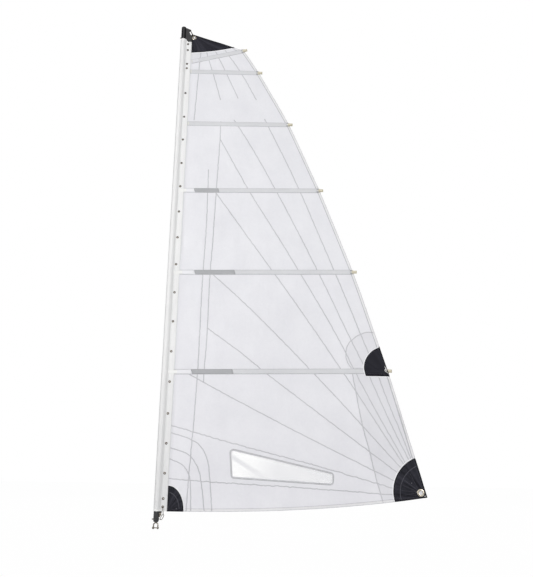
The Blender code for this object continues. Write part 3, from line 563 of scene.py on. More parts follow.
def filmMaterial():
    material, tree, shader = newMaterial("window_film", "window_film", 0.10, Specular_IOR_Level=0.5)
    inputs = {"Vector": objectSpot(tree), "Angle": 1.1}
    leaning = put(tree, "ShaderNodeVectorRotate", inputs, rotation_type="Y_AXIS").outputs[0]
    drawn = put(tree, "ShaderNodeVectorMath", {0: leaning, 1: (5.0, 1.0, 0.9)}, operation="MULTIPLY").outputs[0]
    cloud = put(tree, "ShaderNodeTexNoise", {"Vector": drawn, "Scale": 1.0, "Detail": 2.0}).outputs["Fac"]
    axes, slope = objectAxes(tree), filmFold["slope"]
    rise = mathNode(tree, "SUBTRACT", axes["Z"], filmFold["luff"][1])
    reach = mathNode(tree, "SUBTRACT", axes["X"], filmFold["luff"][0])
    sloped = mathNode(tree, "MULTIPLY", reach, math.sin(slope))
    away = mathNode(tree, "MULTIPLY_ADD", rise, math.cos(slope), sloped)
    below = remap(tree, away, 1.0, 0.0, *filmFold["low"])
    above = remap(tree, away, 0.0, 1.0, *filmFold["high"])
    strength = remap(tree, axes["X"], 0.95, 0.0, 0.75, 1.15)
    sides = mathNode(tree, "MULTIPLY", mathNode(tree, "MAXIMUM", below, above), strength)
    clear = mathNode(tree, "ADD", sides, remap(tree, cloud, 0.05, 0.45, 0.35, 0.65))
    shader.inputs["Alpha"].default_value = 0.22
    colour = mixColour(tree, clear, (0.42, 0.42, 0.49), (1.0, 1.0, 1.0))
    linkShader(tree, shader, colour, bumpNode(tree, cloud, 0.004, 0.4))
    return material


def hardMaterial(name, slot, pale, dark, roughness, metallic=0.0, mottle=18.0, coat=0.0):
    material, tree, shader = newMaterial(name, slot, roughness, metallic, Coat_Weight=coat, Coat_Roughness=0.12)
    cloud = useGroup(tree, mottleGroup, {"Scale": mottle})
    fine = useGroup(tree, mottleGroup, {"Scale": mottle * 20, "Stretch": (1.0, 1.0, 0.12)})
    colour = mixColour(tree, remap(tree, cloud, 0.0, 1.0, 0.35, 0.65), dark, pale)
    tree.links.new(remap(tree, fine, roughness * 0.75, roughness * 1.3, 0.3, 0.7), shader.inputs["Roughness"])
    linkShader(tree, shader, colour, bumpNode(tree, fine, 0.00004, 0.5))
    return material


windowMaterial = filmMaterial()
plasticMaterial, sparMaterial, creamMaterial, creamTipShadeMaterial, battenMaterial = [
    hardMaterial(*values) for values in (
        ("black_plastic", None, (0.013, 0.013, 0.014), (0.004, 0.004, 0.005), 0.20, 0.0, 18.0, 0.8),
        ("spar_tube", None, (0.060, 0.060, 0.064), (0.045, 0.045, 0.05), 0.34, 0.6),
        ("cream_plastic", "cream_plastic", (0.70, 0.655, 0.53), (0.62, 0.575, 0.45), 0.42),
        # darker cream over each cap's end, and painted shade on its underside
        ("cream_plastic_tip_shade", "cream_plastic", (0.52, 0.475, 0.355), (0.42, 0.385, 0.275), 0.42),
        ("batten", None, (0.76, 0.76, 0.70), (0.68, 0.68, 0.61), 0.38, 0.0, 9),
    )]
steelMaterial, ringMaterial, eyeletMaterial, linkMaterial = [hardMaterial(*values) for values in (
    ("steel", "steel", (0.34, 0.31, 0.265), (0.20, 0.18, 0.15), 0.26, 1.0, 60),
    ("steel_ring", "steel", (0.66, 0.61, 0.52), (0.28, 0.25, 0.20), 0.22, 1.0, 45),
    # eyelets drawn very dark: their own brown metal, with painted shade for the shadow inside the hole
    ("steel_eyelet", "steel", (0.085, 0.056, 0.024), (0.016, 0.010, 0.004), 0.40, 1.0, 70),
    ("steel_link", "steel", (0.17, 0.148, 0.118), (0.08, 0.068, 0.052), 0.30, 1.0, 60),
)]

print("finishes made")


# Cloth and window

clothSettings = {
    "thickness": 0.0008,
    "cell": 0.020,
    "footSteps": 48,
    "underStrip": 0.006,      # how far the cloth goes in under the strip
    "windowLap": 0.012,
    "windowRound": 0.035,
    "filmLift": 0.0009,
    "film": 0.0005,
    "doubleLift": 0.0007,
    "double": 0.0003,
    "doubleInset": 0.004,
}
ringHoles = {"head": 0.0160, "clew": 0.0215, "corner": 0.004}
headHole = circleLine(headRing, ringHoles["head"])
clewHoles = [circleLine(clewRing, ringHoles["clew"], 32), circleLine(cornerHole, ringHoles["corner"], 16)]
windowCorners = [tackCorner + Vector(corner) for corner in (
    (0.584, 0.597), (0.606, 0.312), (1.600, 0.260), (1.607, 0.373))]


def footLine(start, end, steps):
    places = [start + (end - start) * step / steps for step in range(steps + 1)]
    return [Vector((x, footHeight(x))) for x in places]


def roundedLine(corners, radius, inset=0.0, steps=6):
    line = []
    for index, corner in enumerate(corners):
        before = (corners[index - 1] - corner).normalized()
        after = (corners[(index + 1) % len(corners)] - corner).normalized()
        half = before.angle(after) / 2
        inwards = (before + after).normalized() / math.sin(half)
        centre = corner + inwards * (radius + inset)
        start, end = [
            angleOf(corner + side * radius / math.tan(half) + inwards * inset - centre)
            for side in (before, after)
        ]
        turn = (end - start + math.pi) % math.tau - math.pi
        line += arcLine(centre, lambda share: radius, start, start + turn, steps)
    return line


def makeCloth():
    front = stripHigh.x - clothSettings["underStrip"]
    outline = footLine(front, clewCorner.x, clothSettings["footSteps"]) + leechCorners[1:]
    outline += [headCorner, Vector((headCorner.x, stripHigh.z)), Vector((front, stripHigh.z))]
    window = roundedLine(windowCorners, clothSettings["windowRound"], clothSettings["windowLap"])
    shape = layOnCloth(flatShape([outline, headHole] + clewHoles + [window], clothSettings["cell"]))
    area = sum(face.calc_area() for face in shape.faces)
    panel = addPiece("clothPanel", shape, sailMaterial, clothSettings["thickness"], 0.0, stands=["sail_cloth"])
    return panel, area


def makeWindow():
    outline = roundedLine(windowCorners, clothSettings["windowRound"])
    shape = layOnCloth(flatShape([outline], 0.025), lift=clothSettings["filmLift"])
    return addPiece("windowFilm", shape, windowMaterial, clothSettings["film"], stands=["window_film"])


clothPanel, clothArea = makeCloth()
windowFilm = makeWindow()
print("cloth made,", round(clothArea, 3), "square metres")


# Ribbons, seams and thread


def ribbonShape(line, width, face, lift, shift=0.0):
    def place(along, side):
        index = round(along * (len(line) - 1))
        spot = line[index] + leftOf(line, index) * ((side - 0.5) * width + shift)
        return Vector((spot.x, 0, spot.y))

    return layOnCloth(gridShape(len(line) - 1, 2, place, (lengthOf(line), width)), face, lift)


def threadLine(line, face, lift, shift=0.0, pitch=0.005, swing=0.0018):
    points = evenLine(sideways(line, shift), pitch)
    return [
        onCloth(spot + leftOf(points, index) * (swing if index % 2 else -swing), face, lift)
        for index, spot in enumerate(points)
    ]


def addThread(name, lines, finish, radius):
    shapes = [wireShape(line, radius, sides=0) for line in lines]
    return addPiece(name, merged(shapes), finish, slot=None, sharp=60)


def addRibbons(name, lines, finish, width, lift, thick, shift=0.0):
    def ribbons(face):
        return merged([ribbonShape(line, width, face, lift, shift) for line in lines])

    return addSides(name, ribbons, finish, thick)


def addStitches(name, lines, finish, radius, lift, shifts, **zigzag):
    pieces = []
    for side, face in bothFaces:
        rows = [threadLine(line, face, lift, shift, **zigzag) for line in lines for shift in shifts]
        pieces.append(addThread(name + side, rows, finish, radius))
    return pieces


seamOrigin = Vector((0.014, tackHeight))        # the seams are measured from here, aft and up
seamSettings = {
    "band": {"width": 0.0095, "lift": 0.0009, "thick": 0.0005},
    "stitches": {"radius": 0.0003, "lift": 0.0010, "shifts": (-0.0025, 0.0025)},
    "underClew": 0.035,       # how far a seam runs on under the patch
    "underHead": 0.19,
    "wave": 0.004,
    "lowWave": 0.009,         # of the two lowest seams
}
reefSeam, aftSeam = 10, 17                      # the seams that end the second layers of cloth
panelSeams = (
    ((2.234, 0.182), (1.264, 0.240), (0.492, 0.276), (0.087, 0.300)),
    ((2.236, 0.248), (1.263, 0.506), (0.663, 0.652), (0.288, 0.752), (0.079, 0.812)),
    ((2.244, 0.324), (1.262, 0.795), (0.344, 1.262), (0.226, 1.325)),
    ((2.287, 0.401), (1.261, 1.157), (1.017, 1.339), (0.748, 1.552), (0.404, 1.798)),
    ((2.319, 0.459), (1.498, 1.346), (0.734, 2.113), (0.447, 2.373)),
    ((2.355, 0.489), (1.804, 1.350), (1.091, 2.397), (0.822, 2.774), (0.446, 3.308)),
    ((2.376, 0.503), (1.937, 1.332), (1.832, 1.554), (1.369, 2.396), (1.145, 2.778), (0.813, 3.328),
     (0.462, 3.977)),
    ((2.419, 0.514), (2.278, 0.820), (2.168, 1.072), (2.060, 1.326), (1.885, 1.695), (1.563, 2.403),
     (1.382, 2.781), (1.107, 3.335), (0.684, 4.106), (0.612, 4.221)),
    ((2.437, 0.539), (2.344, 0.801), (2.229, 1.103), (2.152, 1.328), (2.048, 1.593), (1.737, 2.406),
     (1.585, 2.784), (1.365, 3.338), (1.000, 4.150), (0.960, 4.238)),
    ((2.452, 0.552), (2.373, 0.867), (2.291, 1.150), (2.250, 1.298)),
    ((2.118, 1.770), (2.063, 1.777), (1.991, 1.757), (1.923, 1.718), (1.865, 1.660), (1.832, 1.583),
     (1.834, 1.497), (1.855, 1.441), (1.885, 1.403)),
    ((0.305, 4.980), (0.353, 4.822), (0.452, 4.474)),
    ((0.417, 5.022), (0.512, 4.817), (0.652, 4.496)),
    ((0.541, 5.045), (0.690, 4.813), (0.862, 4.479)),
    ((0.198, 5.088), (0.185, 4.841), (0.160, 4.213)),
    ((0.348, 3.597), (0.346, 2.767), (0.336, 2.457), (0.322, 1.388), (0.307, 0.868), (0.284, 0.403),
     (0.269, 0.005)),
    ((0.463, 4.200), (0.462, 3.977), (0.443, 3.386), (0.425, 2.768), (0.409, 2.367), (0.404, 1.798),
     (0.385, 1.234)),
    ((1.891, 1.351), (1.927, 1.136), (1.980, 0.835), (2.044, 0.576), (2.105, 0.303), (2.159, 0.106)),
    ((0.082, 0.736), (0.191, 0.708), (0.371, 0.621), (0.453, 0.490), (0.484, 0.314), (0.515, 0.010)),
    ((0.086, 0.593), (0.278, 0.521), (0.370, 0.395), (0.405, 0.258), (0.442, 0.009)),
    ((0.084, 0.488), (0.225, 0.422), (0.281, 0.339), (0.302, 0.211), (0.313, 0.007)),
)
seamCorners = [[seamOrigin + Vector(point) for point in seam] for seam in panelSeams]


def wavy(line, swing):
    pulls = [noise.noise(Vector((spot.x * 31, 3.0, spot.y * 31))) for spot in line]
    return [spot.lerp(moved, pull) for spot, moved, pull in zip(line, sideways(line, swing), pulls)]


def makeSeams():
    lines = []
    for number, (first, *others) in enumerate(seamCorners):
        # Seams end under the patch of the clew, and the upper ones under the patch of the head.
        if first.x > 2.2 or first.y > 5.1:
            under = seamSettings["underClew" if first.x > 2.2 else "underHead"]
            first = first + (first - others[0]).normalized() * under
        wave = seamSettings["lowWave" if number < 2 else "wave"]
        lines.append(wavy(smoothLine([first, *others], 0.02), wave))
    pieces = addRibbons("panelSeams", lines, seamMaterial, **seamSettings["band"])
    return pieces + addStitches("seamThread", lines, threadMaterial, **seamSettings["stitches"])


def makeDoubles():
    # Second layers of cloth: over the aft end of the foot, beside the reef patch and over the head
    aside = Vector((clothSettings["doubleInset"], 0))
    down = Vector((0, -clothSettings["doubleInset"]))
    aft = smoothLine(seamCorners[aftSeam])
    foot = footLine(aft[-1].x, clewCorner.x - aside.x, 24)
    reef = smoothLine(seamCorners[reefSeam])
    low, high = battens[5].leech - aside, battens[0].leech - aside
    areas = {
        "footDouble": aft[-2::-1] + [low, clewCorner - aside] + foot[::-1],
        "reefDouble": reef + [low, leechAt(reef[0].y) - aside],
        "headDouble": [battens[0].luff + aside, high, headTip - aside + down, headCorner + aside + down],
    }
    pieces = []
    for name, area in areas.items():
        def cloth(face):
            return layOnCloth(flatShape([area], clothSettings["cell"]), face, clothSettings["doubleLift"])

        pieces += addSides(name, cloth, doubleMaterial, clothSettings["double"])
    return pieces


windowTape = {
    "edge": {"width": 0.016, "lift": 0.0019, "thick": 0.0006, "shift": 0.0055},
    "rim": {"width": 0.007, "lift": 0.0017, "thick": 0.0005, "shift": 0.0165},
    "zigzag": {"radius": 0.0004, "lift": 0.0021, "shifts": (0.0055,), "pitch": 0.006, "swing": 0.004},
}


def makeWindowEdge():
    line = roundedLine(windowCorners, clothSettings["windowRound"], steps=10)
    dense = [evenLine(line + [line[0]], 0.012)]
    pieces = addRibbons("windowEdge", dense, windowEdgeMaterial, **windowTape["edge"])
    pieces += addRibbons("windowRim", dense, whiteEdgeMaterial, **windowTape["rim"])
    return pieces + addStitches("windowThread", dense, whiteEdgeMaterial, **windowTape["zigzag"])


seamPieces = makeSeams() + makeDoubles() + makeWindowEdge()
print("seams made")


# Tapes along the leech and the foot

tapeWidths = {"leech": 0.028, "foot": 0.026, "head": 0.012, "black": 0.010}
tapeSettings = {"lift": 0.00085, "lineLift": 0.0012, "thread": 0.0003}
tapeRows = {"leech": (0.006, 0.024), "foot": (0.022,)}        # of stitches, in from the edge
tapeLines = {                 # width, and how far in from the edge
    "leech": ((0.0065, 0.0265), (0.0030, 0.0020)),
    "foot": ((0.0035, 0.0020), (0.0030, 0.0260)),
}


def tapeShape(line, width, out=0.0):
    # Folded round the line, from the tape's front edge to its back edge
    half = [(width, 1), (width * 0.5, 1), (0.001 - out, 1), (-out, 0.6)]
    profile = [(inward, -depth) for inward, depth in half] + [(-out - 0.0004, 0)] + half[::-1]
    last = len(line) - 1

    def place(along, across):
        index = round(along * last)
        inward, depth = profile[round(across * (len(profile) - 1))]
        return onCloth(line[index] + leftOf(line, index) * inward, 1, depth * (tapeSettings["lift"] + out))

    return gridShape(last, len(profile) - 1, place, (lengthOf(line), width * 2))


def makeTapes():
    leech = [evenLine(ends, 0.03) for ends in zip(leechCorners, leechCorners[1:])]
    foot = footLine(stripHigh.x, clewCorner.x, 90)
    head = evenLine([headTip, headCorner], 0.02)
    lift = tapeSettings["lineLift"]
    threads, lines = [], []
    for face in (-1, 1):
        for line, edge in [(line, "leech") for line in leech] + [(foot, "foot")]:
            threads += [threadLine(line, face, lift, shift) for shift in tapeRows[edge]]
            lines += [ribbonShape(line, width, face, lift, shift) for width, shift in tapeLines[edge]]
    return [
        addPiece("tapeLines", merged(lines), lineMaterial),
        addPiece("leechTape", merged([tapeShape(line, tapeWidths["leech"]) for line in leech]), hemMaterial),
        addPiece("footTape", tapeShape(foot, tapeWidths["foot"]), hemMaterial),
        addPiece("headTape", tapeShape(head, tapeWidths["head"]), borderMaterial),
        addThread("tapeThread", threads, threadMaterial, tapeSettings["thread"]),
    ]


def blackEdge(name, line, out=0.0009):
    # Black cloth folded round the edge of the sail
    return addPiece(name, tapeShape(line, tapeWidths["black"], out), borderMaterial)


tapePieces = makeTapes()
print("tapes made")


# Corner patches

pocketSettings = {
    "width": 0.054,
    "crown": 0.0185,          # half the width of the raised middle
    "height": 0.0064,
    "lift": 0.0012,
    "short": 0.022,           # of the leech
    "thickness": 0.0007,
    "taper": 0.02,            # over this length it rises from the cloth
    "thread": 0.00035,
    "rows": (0.003, 0.0058),  # in from both edges, of which the first shows on the back too
}


def pocketHeight(across):
    away, crown = abs(across), pocketSettings["crown"]
    dome = 1 - 0.10 * (away / crown) ** 2 if away < crown else 0.9
    return pocketSettings["height"] * (1 - smoothStep(away, crown, crown + 0.0045)) * dome


def raiseOverPocket(piece, batten):
    # The front of a patch lies over the batten pocket that it crosses.
    for vert in piece.data.vertices:
        if vert.co.y < 0:
            across = (flat(vert.co) - batten.luff).dot(batten.across)
            vert.co.y -= pocketHeight(across) + 0.0018 * (1 - smoothStep(abs(across), 0.028, 0.034))
    return piece


def fanLayer(shape, centre):
    layer = shape.loops.layers.uv.new("UVMap")
    for face in shape.faces:
        for loop in face.loops:
            away = flat(loop.vert.co) - centre
            loop[layer].uv = (angleOf(away) % math.tau * 7, away.length * 1.5 + centre.x)
    return shape


patchSettings = {
    "margin": 0.002,          # from the sail's edge
    "lift": 0.0017,
    "thick": 0.0011,
    "border": {"width": 0.009, "lift": 0.0021, "thick": 0.0007, "shift": 0.0045},
    "outline": {"width": 0.011, "lift": 0.0012, "thick": 0.0006, "shift": -0.0055},
    "ridge": {"width": 0.008, "lift": 0.0020, "thick": 0.0006},
    "stitches": {"radius": 0.00035, "lift": 0.0023, "shifts": (0.0045, 0.0135)},
}
headPatch = {"luff": 0.254, "bulge": 0.012, "tipIn": 0.010}
tackPatch = {"width": 0.158, "height": 0.233, "inner": 0.74}
clewPatch = {"leech": 0.379, "foot": 0.316, "inner": 0.80, "folds": (0.24, 0.46, 0.60, 0.74, 0.88)}
reefPatch = {
    "leech": 0.309,
    "side": 0.236,
    "foot": 0.052,
    "band": {"width": 0.017, "lift": 0.0025, "thick": 0.0007, "shift": 0.0085},
    "underline": {"width": 0.012, "lift": 0.0012, "thick": 0.0006, "shift": -0.006},
    "line": {"radius": 0.0007, "lift": 0.0024, "shifts": (0.022,)},
}
arcSteps = 24


def addPatch(name, node, arc, corner, holes=(), inner=None, cell=0.016, spacing=0.015, finish=blackMaterial):
    sides = [arc] + [evenLine(ends, spacing) for ends in ((arc[-1], corner), (corner, arc[0]))]

    def cloth(face):
        shape = layOnCloth(flatShape([arc + [corner], *holes], cell), face, patchSettings["lift"])
        return fanLayer(shape, corner)

    pieces = addSides(name, cloth, finish, patchSettings["thick"], [node])
    pieces += addRibbons(name + "Border", sides, borderMaterial, **patchSettings["border"])
    pieces += addStitches(name + "Thread", sides, blackThreadMaterial, **patchSettings["stitches"])
    pieces += addRibbons(name + "Outline", [arc], whiteEdgeMaterial, **patchSettings["outline"])
    if inner:
        pieces += addRibbons(name + "Ridge", [inner], ridgeMaterial, **patchSettings["ridge"])
    return pieces


def makeClewPatch(margin):
    # The arcs run so that the patch lies on their left.
    corner = clewCorner + Vector((-margin, margin / 2))
    up = battens[5].leech - clewCorner
    footX = clewCorner.x - clewPatch["foot"]
    leechAngle = angleOf(up) + 0.006
    footAngle = angleOf(Vector((footX, footHeight(footX))) - clewCorner) % math.tau - 0.006

    def radius(share):
        return clewPatch["leech"] + (clewPatch["foot"] - clewPatch["leech"]) * share

    arc = arcLine(corner, radius, leechAngle, footAngle)
    inner = arcLine(
        corner, lambda share: radius(share) * clewPatch["inner"], leechAngle + 0.03, footAngle - 0.03)
    folds = []
    for share in clewPatch["folds"]:
        turn = leechAngle + (footAngle - leechAngle) * share
        out = Vector((math.cos(turn), math.sin(turn)))
        fold = evenLine([clewRing + out * 0.042, corner + out * radius(share) * 0.76], 0.02)
        folds.append(ribbonShape(fold, 0.0022, -1, patchSettings["ridge"]["lift"]))
    return addPatch("clewPatch", "clew_patch", arc, corner, clewHoles, inner) + [
        addPiece("clewFolds", merged(folds), ridgeMaterial, 0.0004),
        blackEdge("clewEdgeLeech", evenLine([clewCorner, clewCorner + up.normalized() * 0.374], 0.03)),
        blackEdge("clewEdgeFoot", footLine(footX + 0.003, clewCorner.x, 12)),
    ]


def makeTackPatch(margin):
    corner = tackCorner + Vector((margin, margin))
    width, height = tackPatch["width"], tackPatch["height"]
    arc = []
    for step in range(arcSteps + 1):
        angle = math.pi / 2 * step / arcSteps
        arc.append(corner + Vector((width * math.cos(angle), height * math.sin(angle))))
    inner = [corner + (spot - corner) * tackPatch["inner"] for spot in arc[2:-2]]
    edge = blackEdge("tackEdge", footLine(stripHigh.x + 0.001, corner.x + width - 0.004, 8))
    return addPatch("tackPatch", "tack_patch", arc, corner, inner=inner) + [edge]


def makeHeadPatch(margin):
    top = headCorner + Vector((margin, -2 * margin))
    low = headCorner + Vector((margin, -headPatch["luff"]))
    tip = headTip + Vector((-headPatch["tipIn"], -margin))
    arc = []
    for step in range(arcSteps + 1):
        share = step / arcSteps
        arc.append(low.lerp(tip, share) - Vector((0, headPatch["bulge"] * math.sin(math.pi * share))))
    besideLug = Vector((headCorner.x, stripHigh.z + 0.002))
    edge = blackEdge("headEdge", evenLine([headCorner - Vector((0, 0.001)), besideLug], 0.02), 0.0002)
    return addPatch("headPatch", "head_patch", arc, top, [headHole]) + [edge]


def makeReefPatch(margin):
    aside = Vector((margin, 0))
    corner = leechAt(battens[5].leech.y - reefPatch["foot"]) - aside
    up = leechAt(corner.y + reefPatch["leech"]) - aside - corner

    def radius(share):
        return reefPatch["leech"] + (reefPatch["side"] - reefPatch["leech"]) * share * share

    arc = arcLine(corner, radius, angleOf(up) + 0.006, math.pi, 140)
    low = [evenLine([arc[-1], corner], 0.003)]
    pieces = addPatch("reefPatch", "reef_patch", arc, corner, cell=0.004, spacing=0.003, finish=reefMaterial)
    pieces.append(blackEdge("reefEdge", evenLine([corner + aside, corner + aside + up * 0.985], 0.003)))
    pieces += addRibbons("reefBand", low, borderMaterial, **reefPatch["band"])
    pieces += addRibbons("reefUnderline", low, whiteEdgeMaterial, **reefPatch["underline"])
    pieces += addStitches("reefLine", low, blackThreadMaterial, **reefPatch["line"])
    return [raiseOverPocket(piece, battens[5]) for piece in pieces]


patchPieces = []
for makePatch in (makeClewPatch, makeTackPatch, makeHeadPatch, makeReefPatch):
    patchPieces += makePatch(patchSettings["margin"])
print("patches made")


# Luff strip and sleeve

stripSettings = {"thickness": 0.0040, "edge": 0.0008, "hole": 0.0075, "thread": 0.00035}
sleeveSettings = {
    "radius": 0.0299,
    "meet": 40,               # degrees round the spar where the cloth leaves it for the strip
    "bend": 0.80,             # share of the cloth that lies on the spar
    "flange": 0.0425,
    "stripFace": 0.0028,
    "thickness": 0.0009,
    "hem": 0.022,
    "hemThickness": 0.0008,
    "hemLift": 0.0006,
    "stitchIn": 0.003,
}
eyeletPlaces = [flat(middleOf(f"eyelet_{number:02d}")) for number in range(1, 22)]


def makeStrip():
    thickness = stripSettings["thickness"]
    low, high = Vector((stripLow.x, tackHeight)), Vector((stripLow.x, stripHigh.z))
    outline = [low, tackCorner, Vector((stripHigh.x, stripHigh.z)), high]
    holes = [circleLine(place, stripSettings["hole"], 16) for place in eyeletPlaces]
    shape = flatShape([outline] + holes, 0.03)
    strip = addPiece("luffStrip", shape, tapeMaterial, thickness, 0.0, stands=["luff_strip"])
    threads = []
    for x in (stripLow.x + 0.0155, stripHigh.x - 0.022, stripHigh.x - 0.006):
        line = evenLine([Vector((x, stripLow.z + 0.004)), Vector((x, stripHigh.z - 0.004))], 0.1)
        threads += [threadLine(line, face, thickness / 2 + 0.0002) for face in (-1, 1)]
    roundEdges(strip, stripSettings["edge"])
    return [strip, addThread("stripThread", threads, threadMaterial, stripSettings["thread"])]


def sleeveProfile(share):
    # From the flange on the front of the strip, round the spar, to the flange on its back
    meet, bend = math.radians(sleeveSettings["meet"]), sleeveSettings["bend"]
    radius, face = sleeveSettings["radius"], sleeveSettings["stripFace"]
    side = -1 if share < 0.5 else 1
    along = abs(share - 0.5) * 2          # 0 on the far side of the spar, 1 at the flange's edge
    if along <= bend:
        angle = math.pi - (math.pi - meet) * along / bend
        return Vector((radius * math.cos(angle), side * radius * math.sin(angle)))
    leave = Vector((radius * math.cos(meet), radius * math.sin(meet)))
    knee = Vector((leave.x + (leave.y - face) * math.tan(meet), face))
    flange = Vector((sleeveSettings["flange"], face))
    spots = geometry.interpolate_bezier(leave, leave.lerp(knee, 0.75), knee.lerp(flange, 0.1), flange, 13)
    point = spots[min(12, round((along - bend) / (1 - bend) * 12))]
    return Vector((point[0], side * point[1]))


def sleevePoint(across, z, out):
    spot = sleeveProfile(across)
    soft = noise.noise(Vector((spot.x * 9, spot.y * 9, z * 1.7))) * 0.0008
    crease = noise.noise(Vector((spot.x * 30 + z * 6, spot.y * 30, z * 11))) * 0.0004
    if spot.x < 0.03:
        spot *= 1 + (soft + crease - 0.0006 + out) / spot.length
    else:
        spot.y += math.copysign(out, spot.y)
    return Vector((spot.x, spot.y, z))


def sleeveShape(low, high, steps, out=0.0):
    def place(along, across):
        return sleevePoint(across, low + (high - low) * along, out)

    return gridShape(steps, 64, place, (high - low, 0.2))


def makeSleeve():
    low, high = tackHeight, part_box("luff_sleeve")[1].z
    hem, inner = sleeveSettings["hem"], sleeveSettings["stitchIn"]
    shape = sleeveShape(low, high, 420)
    pieces = [addPiece("luffSleeve", shape, tapeMaterial, sleeveSettings["thickness"], stands=["luff_sleeve"])]
    for name, start, stitch in (("Low", low, low + hem - inner), ("High", high - hem, high - hem + inner)):
        shape = sleeveShape(start, start + hem, 6, sleeveSettings["hemLift"])
        pieces.append(addPiece("sleeveHem" + name, shape, hemBandMaterial, sleeveSettings["hemThickness"]))
        line = []
        for step in range(201):
            line.append(sleevePoint(step / 200, stitch + (0.0008 if step % 2 else -0.0008), 0.0008))
        pieces.append(addThread(f"sleeveHem{name}Thread", [line], threadMaterial, 0.0004))
    return pieces


stripPieces = makeStrip() + makeSleeve()
print("luff made")


# Batten pockets, their tabs, straps and end caps

greySleeves = {4: (0.201, 0.470), 5: (0.246, 0.672), 6: (0.261, 0.681)}        # from the seams' origin, aft
pocketParts = {
    "Hem": {"lift": 0.0003, "width": 0.0045, "shift": -0.02475},
    "Rim": {"lift": 0.0003, "width": 0.0025, "shift": 0.0257},
    "strap": {"lift": 0.0016, "width": 0.015, "taper": 0, "steps": 6},
    "sleeve": {"lift": 0.0006, "width": 0.052, "slant": (-0.30, -0.27), "taper": 0},
    "start": {"lift": 0.0005, "width": 0.0455, "slant": (0.0, -0.30)},
}
strapSettings = {"fromLeech": (0.032, 0.010), "shifts": (-0.0165, 0.0165), "thick": 0.0010}
tabSettings = {
    "front": 0.032,           # where it starts, aft of the spar's axis
    "past": 0.03,             # how far it runs onto the pocket
    "width": 0.036,
    "overStrip": 0.0016,
    "overPocket": 0.0008,
    "edgeDrop": 0.0012,
    "thick": 0.0012,
}


def pocketShape(
        batten, start, end, lift=0.0, width=pocketSettings["width"], shift=0.0, slant=(0.0, 0.0),
        taper=pocketSettings["taper"], steps=None):
    def place(along, across):
        side = (across - 0.5) * width + shift
        run = start + slant[0] * side + (end + slant[1] * side - start - slant[0] * side) * along
        rise = smoothStep(run - start, 0.0, taper) if taper else 1.0
        buckle = noise.noise(Vector((run * 9, side * 22, batten.leech.y * 5))) * 0.0004
        height = (pocketHeight(side) + buckle) * rise
        return batten.point(run, side, pocketSettings["lift"] + lift + height)

    return gridShape(steps or max(8, round((end - start) / 0.02)), 26, place, (end - start, width))


def makePocket(number, batten):
    half = pocketSettings["width"] / 2
    start = 0.0006 + half * abs(batten.along.y / batten.along.x)
    end = batten.length - pocketSettings["short"]
    shape = pocketShape(batten, start, end)
    node = f"batten_pocket_{number}"
    pieces = [addPiece(f"pocket{number}", shape, pocketMaterial, pocketSettings["thickness"], stands=[node])]
    rows = []
    for row, inset in enumerate(pocketSettings["rows"]):
        for side in (inset - half, half - inset):
            line = evenLine([flat(batten.point(run, side)) for run in (start + 0.004, end - 0.004)], 0.1)
            rows.append(threadLine(line, -1, pocketSettings["lift"] + 0.0003))
            if row == 0:
                rows.append(threadLine(line, 1, 0.0007))
    pieces.append(addThread(f"pocketThread{number}", rows, threadMaterial, pocketSettings["thread"]))
    for part in ("Hem", "Rim"):
        shape = pocketShape(batten, start + 0.002, end, **pocketParts[part])
        pieces.append(addPiece(f"pocket{part}{number}", shape, pocketEdgeMaterial))
    if number < 6:
        ends = [batten.length - place for place in strapSettings["fromLeech"]]
        straps = [
            pocketShape(batten, *ends, shift=shift, **pocketParts["strap"]) for shift in strapSettings["shifts"]]
        pieces.append(addPiece(f"pocketStrap{number}", merged(straps), greyMaterial, strapSettings["thick"]))
    reach, finish = 0.100, doubleMaterial
    if number in greySleeves:
        near, far = [place + seamOrigin.x - stripHigh.x for place in greySleeves[number]]
        reach, finish = near + 0.004, paleMaterial
        shape = pocketShape(batten, near, far, **pocketParts["sleeve"])
        pieces.append(addPiece(f"pocketSleeve{number}", shape, greyMaterial, 0.0006))
        pieces.append(makeTab(number, batten, start))
    if number == 1 or number in greySleeves:
        shape = pocketShape(batten, start, reach, **pocketParts["start"])
        pieces.append(addPiece(f"pocketStart{number}", shape, finish, 0.0005, slot="pocket_cloth"))
    return pieces


def makeTab(number, batten, start):
    near, width = tabSettings["front"] - stripHigh.x, tabSettings["width"]
    onStrip = stripSettings["thickness"] / 2 + tabSettings["overStrip"]
    onPocket = pocketSettings["lift"] + pocketSettings["height"] + tabSettings["overPocket"]

    def place(along, across):
        side = (across - 0.5) * width
        run = near + (start + tabSettings["past"] - near) * along
        rise = smoothStep(run, -0.012, start + 0.016)
        drop = smoothStep(abs(side), 0.0135, width / 2) * tabSettings["edgeDrop"]
        return batten.point(run, side, onStrip * (1 - rise) + onPocket * rise - drop)

    shape = gridShape(40, 16, place, (0.1, width))
    return addPiece(f"pocketTab{number}", shape, hemBandMaterial, tabSettings["thick"], slot="pocket_cloth")


# The cord that ties the end of the lowest pocket: along from the leech, across, and how far it stands out
tieCorners = (
    (-0.034, 0.046, 0.0115), (-0.024, 0.030, 0.0135), (-0.028, 0.014, 0.0150), (-0.018, 0.004, 0.0150),
    (-0.012, 0.014, 0.0150), (-0.022, 0.020, 0.0160), (-0.034, 0.010, 0.0150), (-0.028, -0.004, 0.0150),
    (-0.016, -0.010, 0.0140), (-0.008, -0.022, 0.0115),
)


def makeTie(batten):
    spots = [batten.point(batten.length + run, side, depth) for run, side, depth in tieCorners]
    line = []
    for index, (spot, following) in enumerate(zip(spots, spots[1:])):
        before, after = spots[max(index - 1, 0)], spots[min(index + 2, len(spots) - 1)]
        leave, arrive = spot + (following - before) / 6, following - (after - spot) / 6
        line += geometry.interpolate_bezier(spot, leave, arrive, following, 8)[:-1]
    return addPiece("pocketTie6", wireShape(line, 0.0026), hemBandMaterial, slot="pocket_cloth", sharp=60)
